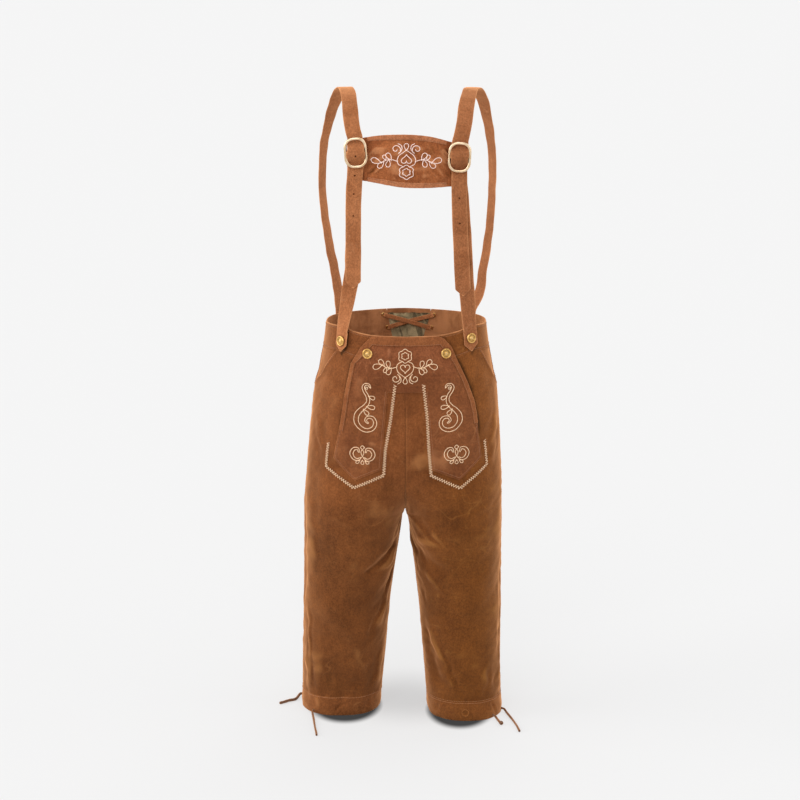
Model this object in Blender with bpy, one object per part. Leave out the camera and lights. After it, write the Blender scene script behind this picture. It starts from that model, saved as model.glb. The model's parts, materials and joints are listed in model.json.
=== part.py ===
"""Knee-length leather trousers with a drop front, H-shaped braces and knee bands.

The trousers are a hollow, worn form. Two front and two back panels are cut from one
surface, a ring of leather round each leg that opens into one tube above the fork.
Heights are given above the hem, and the whole part is then lowered so that its origin
lies between the shoulders, where the wearer holds it. -Y is the front, +X the wearer's left.
"""

import math
from collections import namedtuple

import bmesh
import bpy
import numpy as np
from mathutils import Matrix, Vector

# Heights above the hem
SHOULDER = 1.200
WAIST = 0.766
BAND_SEAM = 0.720
CROTCH = 0.405
CUFF_TOP = 0.038

# Leather and seams
LEATHER = 0.0016
SEAM = 0.0003
TRIM = 0.0010
FRONT_FORK = 0.100
BACK_FORK = 0.140
SQUARENESS = 2.25
FORK_PULL = 5
GIRTH_SCALE = 0.26
COLUMNS = 12

Section = namedtuple("Section", "height right_side left_side right_in left_in front back")
SECTIONS = (
    Section(0.000, 0.201, 0.187, 0.050, 0.045, 0.074, 0.078),
    Section(0.110, 0.199, 0.184, 0.039, 0.036, 0.080, 0.084),
    Section(0.215, 0.196, 0.184, 0.030, 0.027, 0.089, 0.093),
    Section(0.310, 0.194, 0.184, 0.017, 0.016, 0.099, 0.107),
    Section(0.375, 0.193, 0.184, 0.0075, 0.0075, 0.108, 0.119),
    Section(0.396, 0.193, 0.184, 0.0045, 0.0045, 0.110, 0.122),
    Section(CROTCH, 0.193, 0.184, 0.0, 0.0, 0.111, 0.123),
    Section(0.470, 0.188, 0.183, 0.0, 0.0, 0.115, 0.129),
    Section(0.530, 0.183, 0.180, 0.0, 0.0, 0.118, 0.130),
    Section(0.592, 0.177, 0.176, 0.0, 0.0, 0.119, 0.128),
    Section(0.654, 0.169, 0.171, 0.0, 0.0, 0.118, 0.122),
    Section(BAND_SEAM, 0.157, 0.160, 0.0, 0.0, 0.113, 0.114),
    Section(WAIST, 0.151, 0.154, 0.0, 0.0, 0.109, 0.110),
)
# How far each hem stands behind the middle, fading out at the crotch
RIGHT_HEM_BACK = 0.016
LEFT_HEM_BACK = -0.012

# The waist edge: girth is -1 at the middle back, 0 at the side and 1 at the middle front
WaistEdge = namedtuple("WaistEdge", "girth height")
WAIST_EDGE = (
    WaistEdge(-1.0, 0.768),
    WaistEdge(-0.5, 0.766),
    WaistEdge(0.0, 0.766),
    WaistEdge(0.38, 0.769),
    WaistEdge(0.55, 0.762),
    WaistEdge(0.74, 0.757),
    WaistEdge(1.0, 0.756),
)

# Large folds: a soft trough (negative) or ridge (positive) between two points of one leg
Fold = namedtuple("Fold", "side girth1 height1 girth2 height2 width rise")
FOLDS = (
    Fold(-1, 0.92, 0.360, 0.62, 0.285, 0.016, -0.0050),
    Fold(-1, 0.90, 0.300, 0.70, 0.205, 0.014, -0.0035),
    Fold(-1, 0.30, 0.250, 0.70, 0.130, 0.020, 0.0035),
    Fold(-1, 0.62, 0.075, 0.48, 0.020, 0.012, -0.0030),
    Fold(1, 0.90, 0.420, 0.62, 0.330, 0.015, 0.0045),
    Fold(1, 0.86, 0.345, 0.55, 0.290, 0.014, -0.0045),
    Fold(1, 0.85, 0.190, 0.70, 0.060, 0.016, -0.0045),
    Fold(1, 0.25, 0.310, 0.50, 0.200, 0.020, 0.0030),
    Fold(-1, -0.90, 0.400, -0.50, 0.330, 0.018, -0.0055),
    Fold(-1, -0.80, 0.340, -0.40, 0.250, 0.018, -0.0040),
    Fold(1, -0.90, 0.390, -0.52, 0.335, 0.018, -0.0055),
    Fold(1, -0.82, 0.320, -0.42, 0.270, 0.018, -0.0040),
    Fold(-1, -0.70, 0.180, -0.35, 0.110, 0.018, 0.0035),
    Fold(1, -0.68, 0.160, -0.30, 0.120, 0.018, 0.0035),
)


# ---------------------------------------------------------------- the trousers' surface
def blend(table, column, at):
    """The table's column at one place, on a smooth curve that never overshoots a row."""
    places = [row[0] for row in table]
    values = [getattr(row, column) for row in table]
    at = min(max(at, places[0]), places[-1])
    steps = [b - a for a, b in zip(places, places[1:])]
    slopes = [(b - a) / step for a, b, step in zip(values, values[1:], steps)]
    turns = [slopes[0]]
    for before, after in zip(slopes, slopes[1:]):
        turns.append(0.0 if before * after <= 0 else 2 * before * after / (before + after))
    turns.append(slopes[-1])
    index = min(max(sum(place <= at for place in places) - 1, 0), len(steps) - 1)
    t = (at - places[index]) / steps[index]
    ease = t * t * (3 - 2 * t)
    lead = t * (1 - t) ** 2 * turns[index] * steps[index]
    trail = t * t * (1 - t) * turns[index + 1] * steps[index]
    return values[index] + (values[index + 1] - values[index]) * ease + lead - trail


def smooth_step(value, low, high):
    t = min(max((value - low) / (high - low), 0.0), 1.0)
    return t * t * (3 - 2 * t)


ARC_CACHE = {}


def half_ring(side, back, height):
    """One leg's front or back half at a height: lengths, points and outward normals, from
    the side seam to the inseam or, above the fork, to the middle seam."""
    key = (side, back, round(height, 6))
    if key in ARC_CACHE:
        return ARC_CACHE[key]
    outer = blend(SECTIONS, "right_side" if side < 0 else "left_side", height)
    depth = blend(SECTIONS, "back" if back else "front", height)
    if height < CROTCH:
        inner = blend(SECTIONS, "right_in" if side < 0 else "left_in", height)
        half_width = (outer - inner) / 2
        middle = (outer + inner) / 2
        last_angle = math.pi
    else:
        rise = min((height - CROTCH) / (BACK_FORK if back else FRONT_FORK), 1.0)
        reach = math.sqrt(rise * (2 - rise))
        ratio = (1 - reach**SQUARENESS) ** (1 / SQUARENESS)
        half_width = outer / (1 + ratio)
        middle = half_width * ratio
        last_angle = math.acos(-(ratio ** (SQUARENESS / 2)))
    angle = np.linspace(0, last_angle, 721)
    across = np.cos(angle)
    along = np.maximum(np.sin(angle), 0)
    power = 2 / SQUARENESS
    x = middle + half_width * np.sign(across) * np.abs(across) ** power
    y = depth * along**power
    normal_x = np.sign(across) * np.abs(across) ** (2 - power) / half_width
    normal_y = along ** (2 - power) / depth
    size = np.hypot(normal_x, normal_y)
    length = np.concatenate([[0], np.cumsum(np.hypot(np.diff(x), np.diff(y)))])
    facing = 1 if back else -1
    ARC_CACHE[key] = (
        length,
        x,
        facing * y,
        normal_x / size,
        facing * normal_y / size,
    )
    return ARC_CACHE[key]


def length_along(side, back, height, girth):
    """How far round a half ring a pattern column lies. Over the fork, where the rings grow
    shorter at once, only the columns near the middle seam draw together."""
    total = half_ring(side, back, height)[0][-1]
    top = CROTCH + (BACK_FORK if back else FRONT_FORK)
    if not CROTCH < height < top:
        return total * girth
    share = (height - CROTCH) / (top - CROTCH)
    low = half_ring(side, back, CROTCH)[0][-1]
    high = half_ring(side, back, top)[0][-1]
    even = low + (high - low) * share
    return even * girth + (total - even) * girth**FORK_PULL


def fold_rise(side, girth, height):
    total = 0.0
    for fold in FOLDS:
        if fold.side != side or (fold.girth1 < 0) != (girth < 0):
            continue
        start = np.array((fold.girth1 * GIRTH_SCALE, fold.height1))
        run = np.array((fold.girth2 * GIRTH_SCALE, fold.height2)) - start
        here = np.array((girth * GIRTH_SCALE, height)) - start
        t = min(max(float(here @ run / (run @ run)), 0.0), 1.0)
        away = float(np.linalg.norm(here - t * run))
        fade = 1 - smooth_step(abs(t - 0.5), 0.3, 0.5)
        total += fold.rise * (0.25 + 0.75 * fade) * math.exp(-((away / fold.width) ** 2))
    keep_seams = 1 - smooth_step(abs(girth), 0.90, 0.985)
    keep_side = smooth_step(abs(girth), 0.0, 0.08)
    return total * keep_seams * keep_side


def true_height(girth, level):
    """A level of the flat pattern as a height: the top rows follow the waist edge."""
    share = smooth_step(level, 0.56, BAND_SEAM)
    return level + (blend(WAIST_EDGE, "height", girth) - WAIST) * share


def leather(side, girth, level, out, gap=SEAM / 2):
    """A point that stands out from the panels' outer face. The side is -1 for the wearer's
    right leg and 1 for the left."""
    back = girth < 0
    height = true_height(girth, level)
    length, *columns = half_ring(side, back, height)
    where = length_along(side, back, height, abs(girth))
    x, y, normal_x, normal_y = (float(np.interp(where, length, column)) for column in columns)
    out += fold_rise(side, girth, height)
    lean = RIGHT_HEM_BACK if side < 0 else LEFT_HEM_BACK
    shift = lean * (1 - smooth_step(height, 0.0, CROTCH))
    return Vector(
        (
            side * (x + out * normal_x + gap),
            y + out * normal_y + shift,
            height - SHOULDER,
        )
    )


def front(across, level, out):
    """The front as one sheet: across is -1 and 1 at the side seams, 0 in the middle."""
    side = 1 if across >= 0 else -1
    return leather(side, max(1 - abs(across), 1e-6), level, out, 0.0)


def back(across, level, out):
    side = 1 if across >= 0 else -1
    return leather(side, min(abs(across) - 1, -1e-6), level, out, 0.0)


def round_leg(side):
    """All round one leg: 0 and 2 are the side seam's front and back, 1 is the inseam."""

    def place(around, level, out):
        girth = around if around <= 1 else around - 2
        return leather(side, girth, level, out, 0.0)

    return place


def one_half(side, facing):
    """One front or back half: 0 is the side seam, 1 the middle seam or inseam."""

    def place(across, level, out):
        return leather(side, facing * max(across, 1e-6), level, out)

    return place


def across_at(x, level):
    """Where the front sheet reaches a distance from the middle, at a level."""
    side = 1 if x >= 0 else -1
    low, high = 0.0, 1.0
    for _ in range(24):
        middle = (low + high) / 2
        if abs(front(side * middle, level, 0.0).x) < abs(x):
            low = middle
        else:
            high = middle
    return side * (low + high) / 2


# ---------------------------------------------------------------- materials and objects
def clear_scene():
    for item in list(bpy.data.objects):
        bpy.data.objects.remove(item, do_unlink=True)


def material(name, colour, roughness, metallic=0.0):
    made = bpy.data.materials.new(name)
    made.use_nodes = True
    shader = made.node_tree.nodes["Principled BSDF"]
    shader.inputs["Base Color"].default_value = (*colour, 1)
    shader.inputs["Roughness"].default_value = roughness
    shader.inputs["Metallic"].default_value = metallic
    made.diffuse_color = (*colour, 1)
    return made


def add_object(name, mesh, finish, smooth_angle=40):
    mesh.materials.clear()
    mesh.materials.append(finish)
    mesh.shade_smooth()
    mesh.set_sharp_from_angle(angle=math.radians(smooth_angle))
    made = bpy.data.objects.new(name, mesh)
    bpy.context.scene.collection.objects.link(made)
    return made


# ---------------------------------------------------------------- cutting pieces
def leg_rows(low, high):
    """The pattern's rows of points, close together over the fork, between two levels."""
    rows = list(np.linspace(CUFF_TOP, CROTCH - 0.009, 12)) + [CROTCH]
    for step in (0.20, 0.42, 0.66, 0.95, 1.25):
        rows.append(CROTCH + FRONT_FORK * (1 - math.cos(step)))
    rows += list(np.linspace(CROTCH + FRONT_FORK, BAND_SEAM, 8))
    inside = [row for row in rows if low + 0.0015 < row < high - 0.0015]
    return [low, *inside, high]


def steps_between(low, high, count=COLUMNS):
    """The pattern's columns, count of them from a side seam to the middle, between two."""
    inside = [
        index / count
        for index in range(-2 * count, 2 * count + 1)
        if low + 0.012 < index / count < high - 0.012
    ]
    return [low, *inside, high]


def inside_outline(point, outline):
    crossings = 0
    for (x1, y1), (x2, y2) in zip(outline, outline[1:] + outline[:1]):
        if (y1 > point[1]) != (y2 > point[1]):
            crossings += point[0] < x1 + (point[1] - y1) * (x2 - x1) / (y2 - y1)
    return crossings % 2 == 1


def cut_along(flat, outline):
    """Cuts the flat pattern along its outline and drops what lies outside."""
    for (x1, y1), (x2, y2) in zip(outline, outline[1:] + outline[:1]):
        start = Vector((x1, y1, 0))
        end = Vector((x2, y2, 0))
        low = Vector((min(x1, x2), min(y1, y2), 0))
        high = Vector((max(x1, x2), max(y1, y2), 0))
        near = [
            face
            for face in flat.faces
            if min(v.co.x for v in face.verts) <= high.x
            and max(v.co.x for v in face.verts) >= low.x
            and min(v.co.y for v in face.verts) <= high.y
            and max(v.co.y for v in face.verts) >= low.y
        ]
        edges = {edge for face in near for edge in face.edges}
        points = {vert for face in near for vert in face.verts}
        along = (end - start).normalized()
        bmesh.ops.bisect_plane(
            flat,
            geom=[*near, *edges, *points],
            dist=2e-4,
            plane_co=start,
            plane_no=Vector((-along.y, along.x, 0)),
        )
    outside = [
        face for face in flat.faces if not inside_outline(face.calc_center_median(), outline)
    ]
    bmesh.ops.delete(flat, geom=outside, context="FACES")


def cut_piece(name, finish, place, columns, rows, inner, outer, outline=None):
    """A piece of leather as a closed wall between two distances from the panels' face."""
    flat = bmesh.new()
    points = [[flat.verts.new((column, row, 0)) for column in columns] for row in rows]
    for low, high in zip(points, points[1:]):
        for index in range(len(columns) - 1):
            flat.faces.new((low[index], low[index + 1], high[index + 1], high[index]))
    if outline:
        cut_along(flat, outline)
        bmesh.ops.remove_doubles(flat, verts=flat.verts, dist=1e-4)
    bmesh.ops.triangulate(flat, faces=flat.faces, quad_method="FIXED")
    loose = [vert for vert in flat.verts if not vert.link_faces]
    bmesh.ops.delete(flat, geom=loose, context="VERTS")
    flat.verts.index_update()
    inner_points = [place(v.co.x, v.co.y, inner) for v in flat.verts]
    outer_points = [place(v.co.x, v.co.y, outer) for v in flat.verts]
    count = len(inner_points)
    faces = []
    for face in flat.faces:
        a, b, c = (vert.index for vert in face.verts)
        faces.append((a + count, b + count, c + count))
        faces.append((a, c, b))
    for edge in flat.edges:
        if len(edge.link_loops) == 1:
            loop = edge.link_loops[0]
            a, b = loop.vert.index, loop.link_loop_next.vert.index
            faces.append((b, b + count, a + count, a))
    flat.free()
    mesh = bpy.data.meshes.new(name)
    mesh.from_pydata([*inner_points, *outer_points], [], faces)
    turn_outward(mesh)
    return add_object(name, mesh, finish)


def turn_outward(mesh):
    shape = bmesh.new()
    shape.from_mesh(mesh)
    bmesh.ops.recalc_face_normals(shape, faces=shape.faces)
    if shape.calc_volume(signed=True) < 0:
        bmesh.ops.reverse_faces(shape, faces=shape.faces)
    shape.to_mesh(mesh)
    shape.free()


# ---------------------------------------------------------------- trousers
FACING_STEP = 0.0010
FACING_HIDDEN = 0.03

# Each slant pocket's mouth, from the band seam to the side seam, as girths and levels
POCKET_MOUTH = {
    -1: ((0.365, BAND_SEAM), (0.280, 0.696), (0.180, 0.670), (0.070, 0.654), (0.0, 0.648)),
    1: ((0.295, BAND_SEAM), (0.230, 0.696), (0.155, 0.671), (0.075, 0.656), (0.0, 0.648)),
}

# The gusset's edges at the waist, right and left of the middle back, as girths
GUSSET_EDGE = {-1: 0.172, 1: 0.238}
GUSSET_FOOT = 0.600
GUSSET_BAND = 0.008
GUSSET_SUNK = 0.0004
BAND_PROUD = 0.0002
BAND_ROWS = (BAND_SEAM, (BAND_SEAM + WAIST) / 2, WAIST)


def gusset_edge(side, level):
    return GUSSET_EDGE[side] * (level - GUSSET_FOOT) / (WAIST - GUSSET_FOOT)


def make_panels(finish):
    """Front panels with their slant pocket mouths, pocket facings and back panels."""
    end = SEAM / 2 / GIRTH_SCALE
    low = CUFF_TOP + SEAM
    high = BAND_SEAM - SEAM
    columns = steps_between(end, 1 - end)
    rows = leg_rows(low, high)
    for side, word in ((-1, "right"), (1, "left")):
        mouth = [(max(girth, end), min(level, high)) for girth, level in POCKET_MOUTH[side]]
        gap = SEAM / GIRTH_SCALE
        outline = [(end, low), (1 - end, low), (1 - end, high), *mouth]
        place = one_half(side, 1)
        cut_piece(f"front_panel_{word}", finish, place, columns, rows, -LEATHER, 0, outline)
        facing = [(end, mouth[-1][1] + 2 * SEAM)]
        facing += [(girth - 1.5 * gap, level) for girth, level in reversed(mouth[:-1])]
        facing.append((end, high))
        cut_piece(
            f"pocket_facing_{word}",
            finish,
            place,
            steps_between(end, 0.5),
            leg_rows(mouth[-1][1] - FACING_HIDDEN, high),
            -LEATHER - FACING_STEP,
            -FACING_STEP,
            facing,
        )
        notch = [(1 - end, GUSSET_FOOT), (1 - gusset_edge(side, high), high)]
        outline = [(end, low), (1 - end, low), *notch, (end, high)]
        place = one_half(side, -1)
        cut_piece(f"back_panel_{word}", finish, place, columns, rows, -LEATHER, 0, outline)


def make_waistband(finish, cloth):
    """The band's four lengths, and the cloth gusset that spreads the middle back."""
    end = SEAM / 2 / GIRTH_SCALE
    gap = SEAM / GIRTH_SCALE
    for side, word in ((-1, "right"), (1, "left")):
        cut_piece(
            f"waistband_front_{word}",
            finish,
            one_half(side, 1),
            steps_between(end, 1 - end),
            BAND_ROWS,
            -LEATHER,
            BAND_PROUD,
        )
        low_end = 1 - gusset_edge(side, BAND_SEAM) - gap
        high_end = 1 - gusset_edge(side, WAIST) - gap
        cut_piece(
            f"waistband_back_{word}",
            finish,
            one_half(side, -1),
            steps_between(end, low_end),
            BAND_ROWS,
            -LEATHER,
            BAND_PROUD,
            [(end, BAND_SEAM), (low_end, BAND_SEAM), (high_end, WAIST), (end, WAIST)],
        )
    top = WAIST - GUSSET_BAND
    foot = GUSSET_FOOT + 0.005
    right, left = (side * (gusset_edge(side, top) - gap) for side in (-1, 1))
    cut_piece(
        "back_gusset",
        cloth,
        back,
        steps_between(right, left),
        [*leg_rows(foot - 0.001, BAND_SEAM), (BAND_SEAM + top) / 2, top],
        -LEATHER,
        -GUSSET_SUNK,
        [(right, top), (0, foot), (left, top)],
    )
    right, left = (side * (gusset_edge(side, top + SEAM) - gap) for side in (-1, 1))
    cut_piece(
        "back_gusset_band",
        finish,
        back,
        steps_between(right, left),
        [top + SEAM, WAIST],
        -LEATHER,
        BAND_PROUD,
    )


# The drop front: half outlines as distance from the middle and level, top to bottom
FlapPoint = namedtuple("FlapPoint", "x level")
FLAP_RIGHT = (
    FlapPoint(0.067, 0.759),
    FlapPoint(0.081, 0.741),
    FlapPoint(0.099, 0.708),
    FlapPoint(0.108, 0.660),
    FlapPoint(0.116, 0.610),
    FlapPoint(0.122, 0.578),
    FlapPoint(0.132, 0.523),
    FlapPoint(0.093, 0.485),
    FlapPoint(0.045, 0.506),
    FlapPoint(0.033, 0.660),
)
FLAP_LEFT = (
    FlapPoint(0.070, 0.759),
    FlapPoint(0.083, 0.742),
    FlapPoint(0.0975, 0.706),
    FlapPoint(0.1105, 0.671),
    FlapPoint(0.1215, 0.637),
    FlapPoint(0.1325, 0.590),
    FlapPoint(0.141, 0.523),
    FlapPoint(0.099, 0.485),
    FlapPoint(0.049, 0.506),
    FlapPoint(0.036, 0.660),
)
FLAP_TOP = 0.7655
TOP_CORNER = 0.059
FLAP_OUT = 0.0006
EDGING_OUT = FLAP_OUT + LEATHER + SEAM
EDGING = 0.010
# The edging runs down to this many outline points, and turns at the corners above a level
EDGED_POINTS = 6
CORNER_LEVEL = 0.73


def edging_inside(point, towards_middle):
    """The edging's inner outline beside a point of the drop front's outline."""
    across, level = point
    down = EDGING if level > CORNER_LEVEL else 0
    return (across + towards_middle * EDGING / GIRTH_SCALE, level - down)


def outline_across(points, side):
    return [(across_at(side * point.x, point.level), point.level) for point in points]


def make_flap(finish):
    """The drop front, from the waist edge to its two pointed tongues, and its edging."""
    right = outline_across(FLAP_RIGHT, -1)
    left = outline_across(FLAP_LEFT, 1)
    top_right = (across_at(-TOP_CORNER, FLAP_TOP), FLAP_TOP)
    top_left = (across_at(TOP_CORNER, FLAP_TOP), FLAP_TOP)
    outline = [top_right, *right, *reversed(left), top_left]
    low = min(point[1] for point in outline)
    rows = [*leg_rows(low - 0.004, BAND_SEAM), BAND_ROWS[1], FLAP_TOP]
    wide = max(abs(point[0]) for point in outline) + 0.01
    columns = steps_between(-wide, wide)
    cut_piece(
        "drop_front", finish, front, columns, rows, FLAP_OUT, FLAP_OUT + LEATHER, outline
    )
    right_edge = right[:EDGED_POINTS]
    left_edge = left[:EDGED_POINTS]
    edging = [
        top_right,
        *right_edge,
        *reversed([edging_inside(point, 1) for point in right_edge]),
        *[edging_inside(point, -1) for point in left_edge],
        *reversed(left_edge),
        top_left,
    ]
    cut_piece(
        "drop_front_edging",
        finish,
        front,
        columns,
        rows,
        EDGING_OUT,
        EDGING_OUT + TRIM,
        edging,
    )


CUFF_PROUD = 0.0006
CUFF_SLIT = 0.003


def make_cuffs(finish):
    """A knee band round each leg, whose ends meet at a slit at the side seam."""
    end = CUFF_SLIT / 2 / GIRTH_SCALE
    columns = steps_between(end, 2 - end)
    rows = [0.0, CUFF_TOP / 2, CUFF_TOP]
    for side, word in ((-1, "right"), (1, "left")):
        cut_piece(
            f"cuff_{word}", finish, round_leg(side), columns, rows, -LEATHER, CUFF_PROUD
        )


# ---------------------------------------------------------------- braces
STRAP_WIDTH = 0.028
STRAP = 0.0020
BUCKLE_Y = -0.118
BUCKLE_HEIGHT = 1.087
# The two buckles hang unevenly, and the straps beside them follow
BUCKLE_LIFT = {-1: 0.005, 1: -0.003}
LIFT_FULL = 0.030
LIFT_END = 0.080
# So do the free ends, whose lengths differ
FREE_END_LIFT = {-1: 0.0065, 1: -0.0075}
FREE_END_TOP = 0.92
FREE_END_LOW = 0.84
RIM = 0.0028
BAR = 0.0020

# turn is the angle of the strap's width, from straight across to edge on
Station = namedtuple("Station", "x shift y height turn")
SHOULDER_STRAP = (
    Station(0.1000, 0.0050, -0.1030, 0.838, 0),
    Station(0.0985, 0.0040, -0.1060, 0.880, 0),
    Station(0.0965, 0.0025, -0.1100, 0.940, 0),
    Station(0.0950, 0.0015, -0.1130, 1.000, 0),
    Station(0.0935, 0.0028, BUCKLE_Y + 0.0040, BUCKLE_HEIGHT - 0.0400, 0),
    Station(0.0930, 0.0033, BUCKLE_Y + 0.0054, BUCKLE_HEIGHT - 0.0280, 0),
    Station(0.0928, 0.0035, BUCKLE_Y + 0.0050, BUCKLE_HEIGHT - 0.0215, 0),
    Station(0.0926, 0.0036, BUCKLE_Y + 0.0020, BUCKLE_HEIGHT - 0.0145, 0),
    Station(0.0925, 0.0036, BUCKLE_Y - 0.0048, BUCKLE_HEIGHT - 0.0065, 0),
    Station(0.0925, 0.0036, BUCKLE_Y - 0.0062, BUCKLE_HEIGHT, 0),
    Station(0.0927, 0.0036, BUCKLE_Y - 0.0048, BUCKLE_HEIGHT + 0.0065, 0),
    Station(0.0931, 0.0036, BUCKLE_Y + 0.0020, BUCKLE_HEIGHT + 0.0145, 0),
    Station(0.0936, 0.0036, BUCKLE_Y + 0.0050, BUCKLE_HEIGHT + 0.0215, 0),
    Station(0.0941, 0.0035, BUCKLE_Y + 0.0056, BUCKLE_HEIGHT + 0.0280, 0),
    Station(0.0970, 0.0033, -0.1105, 1.126, 0),
    Station(0.1010, 0.0040, -0.1010, 1.146, 0),
    Station(0.1040, 0.0045, -0.0815, 1.169, 2),
    Station(0.1085, 0.0055, -0.0500, 1.189, 5),
    Station(0.1150, 0.0060, -0.0130, 1.1985, 12),
    Station(0.1240, 0.0065, 0.0250, 1.192, 24),
    Station(0.1360, 0.0070, 0.0580, 1.170, 40),
    Station(0.1480, 0.0060, 0.0860, 1.130, 52),
    Station(0.1580, 0.0045, 0.1050, 1.080, 60),
    Station(0.1615, 0.0040, 0.1150, 1.020, 63),
    Station(0.1600, 0.0045, 0.1160, 0.970, 63),
    Station(0.1530, 0.0055, 0.1120, 0.905, 61),
    Station(0.1420, 0.0070, 0.1010, 0.845, 57),
    Station(0.1345, 0.0070, 0.0900, 0.800, 53),
)
# The stations that weave through the buckle, used as they stand, and the one over its bar
WEAVE = slice(4, 14)
OVER_BAR = 9
LOWER_STRAP = (
    Station(0.1039, 0.0064, -0.1000, 0.862, 0),
    Station(0.1016, 0.0061, -0.1030, 0.900, 0),
    Station(0.0988, 0.0046, -0.1075, 0.960, 0),
    Station(0.0965, 0.0030, -0.1100, 1.010, 0),
    Station(0.0937, 0.0028, -0.1108, 1.045, 0),
    Station(0.0928, 0.0035, BUCKLE_Y + 0.0079, BUCKLE_HEIGHT - 0.0250, 0),
    Station(0.0925, 0.0036, BUCKLE_Y + 0.0041, BUCKLE_HEIGHT - 0.0080, 0),
)
STRAP_POINT = 0.013
POINT_TIP = 0.002

# A tab's place on the trousers, how far it stands off, and the angle by which it faces
# further forwards than the leather under it
Tab = namedtuple("Tab", "girth levels gap turn button_level")
FRONT_LEVELS = (0.768, 0.752, 0.736, 0.722)
BACK_LEVELS = (0.772, 0.755, 0.738, 0.718)
FRONT_TABS = {
    -1: Tab(0.435, FRONT_LEVELS, 0.0034, -8, 0.7415),
    1: Tab(0.425, FRONT_LEVELS, 0.0026, 10, 0.7460),
}
BACK_TABS = {
    -1: Tab(-0.385, BACK_LEVELS, 0.0014, 0, 0.7415),
    1: Tab(-0.385, BACK_LEVELS, 0.0014, 0, 0.7460),
}


def curve_through(points, spacing):
    """Points every so often on a smooth curve through the given points. A point is a list
    of numbers whose first three are its place."""
    rows = np.array(points, float)
    ends = np.vstack([2 * rows[0] - rows[1], rows, 2 * rows[-1] - rows[-2]])
    fine = []
    for p0, p1, p2, p3 in zip(ends, ends[1:], ends[2:], ends[3:]):
        for t in np.linspace(0, 1, 24, endpoint=False):
            fine.append(
                0.5
                * (
                    2 * p1
                    + (p2 - p0) * t
                    + (2 * p0 - 5 * p1 + 4 * p2 - p3) * t**2
                    + (3 * p1 - p0 - 3 * p2 + p3) * t**3
                )
            )
    fine.append(rows[-1])
    fine = np.array(fine)
    length = np.concatenate([[0], np.cumsum(np.linalg.norm(np.diff(fine[:, :3], axis=0), axis=1))])
    count = max(int(round(length[-1] / spacing)), 2)
    at = np.linspace(0, length[-1], count + 1)
    return np.stack([np.interp(at, length, column) for column in fine.T], axis=1)


def ribbon(name, finish, stations, width, thickness, points=(0.0, 0.0)):
    """A strap along its stations (place and width direction), with an optional point of a
    given length at each end."""
    places = [np.array(station[:3], float) for station in stations]
    length = np.concatenate(
        [[0], np.cumsum([np.linalg.norm(b - a) for a, b in zip(places, places[1:])])]
    )
    verts = []
    for index, station in enumerate(stations):
        before = places[max(index - 1, 0)]
        after = places[min(index + 1, len(places) - 1)]
        tangent = (after - before) / np.linalg.norm(after - before)
        across = np.array(station[3:6], float)
        across -= tangent * (across @ tangent)
        across /= np.linalg.norm(across)
        normal = np.cross(across, tangent)
        half = width / 2
        from_ends = (length[index], length[-1] - length[index])
        for pointed, from_end in zip(points, from_ends):
            if pointed:
                half = min(half, width / 2 * from_end / pointed + POINT_TIP / 2)
        for sign_across, sign_normal in ((-1, -1), (1, -1), (1, 1), (-1, 1)):
            verts.append(
                places[index]
                + across * half * sign_across
                + normal * thickness / 2 * sign_normal
            )
    faces = [(0, 1, 2, 3)]
    for index in range(len(stations) - 1):
        for corner in range(4):
            a = 4 * index + corner
            b = 4 * index + (corner + 1) % 4
            faces.append((a, b, b + 4, a + 4))
    last = 4 * (len(stations) - 1)
    faces.append((last + 3, last + 2, last + 1, last))
    mesh = bpy.data.meshes.new(name)
    mesh.from_pydata([Vector(vert) for vert in verts], [], faces)
    turn_outward(mesh)
    return add_object(name, mesh, finish, 30)


def strap_row(side, row):
    """A station as place and width direction. The width's inner end turns backwards."""
    angle = math.radians(row.turn)
    lift = 0.0
    if row.y < 0:
        from_buckle = abs(row.height - BUCKLE_HEIGHT)
        lift = BUCKLE_LIFT[side] * (1 - smooth_step(from_buckle, LIFT_FULL, LIFT_END))
        lift += FREE_END_LIFT[side] * (1 - smooth_step(row.height, FREE_END_LOW, FREE_END_TOP))
    return (
        side * row.x + row.shift,
        row.y,
        row.height + lift - SHOULDER,
        -side * math.cos(angle),
        math.sin(angle),
        0.0,
    )


def tab_rows(side, tab):
    """Stations down the trousers' face, for the tab of a strap that is buttoned there."""
    out = STRAP / 2 + tab.gap
    turn = Matrix.Rotation(math.radians(-side * tab.turn), 3, "Z")
    rows = []
    for level in tab.levels:
        place = leather(side, tab.girth, min(level, WAIST), out)
        place.z += max(level - WAIST, 0)
        before = leather(side, tab.girth - 0.02, min(level, WAIST), out)
        after = leather(side, tab.girth + 0.02, min(level, WAIST), out)
        across = turn @ (after - before).normalized()
        if tab.girth < 0:
            across = -across
        rows.append((*place, *across))
    return rows


NEAREST_ROWS = 0.002


def point_rows(rows, pointed, width):
    """Adds the rows where a point begins and ends, so that its corners are crisp."""
    places = [np.array(row[:3], float) for row in rows]
    length = np.concatenate(
        [[0], np.cumsum([np.linalg.norm(b - a) for a, b in zip(places, places[1:])])]
    )
    corner = pointed * (1 - POINT_TIP / width)
    at = sorted({*length, corner})
    kept = [at[0]]
    for value in at[1:]:
        close = value - kept[-1] <= NEAREST_ROWS
        if close and value != corner:
            continue
        if close and len(kept) > 1:
            kept.pop()
        kept.append(value)
    table = np.array(rows, float)
    return [
        tuple(np.interp(value, length, column) for column in table.T) for value in kept
    ]


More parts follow.
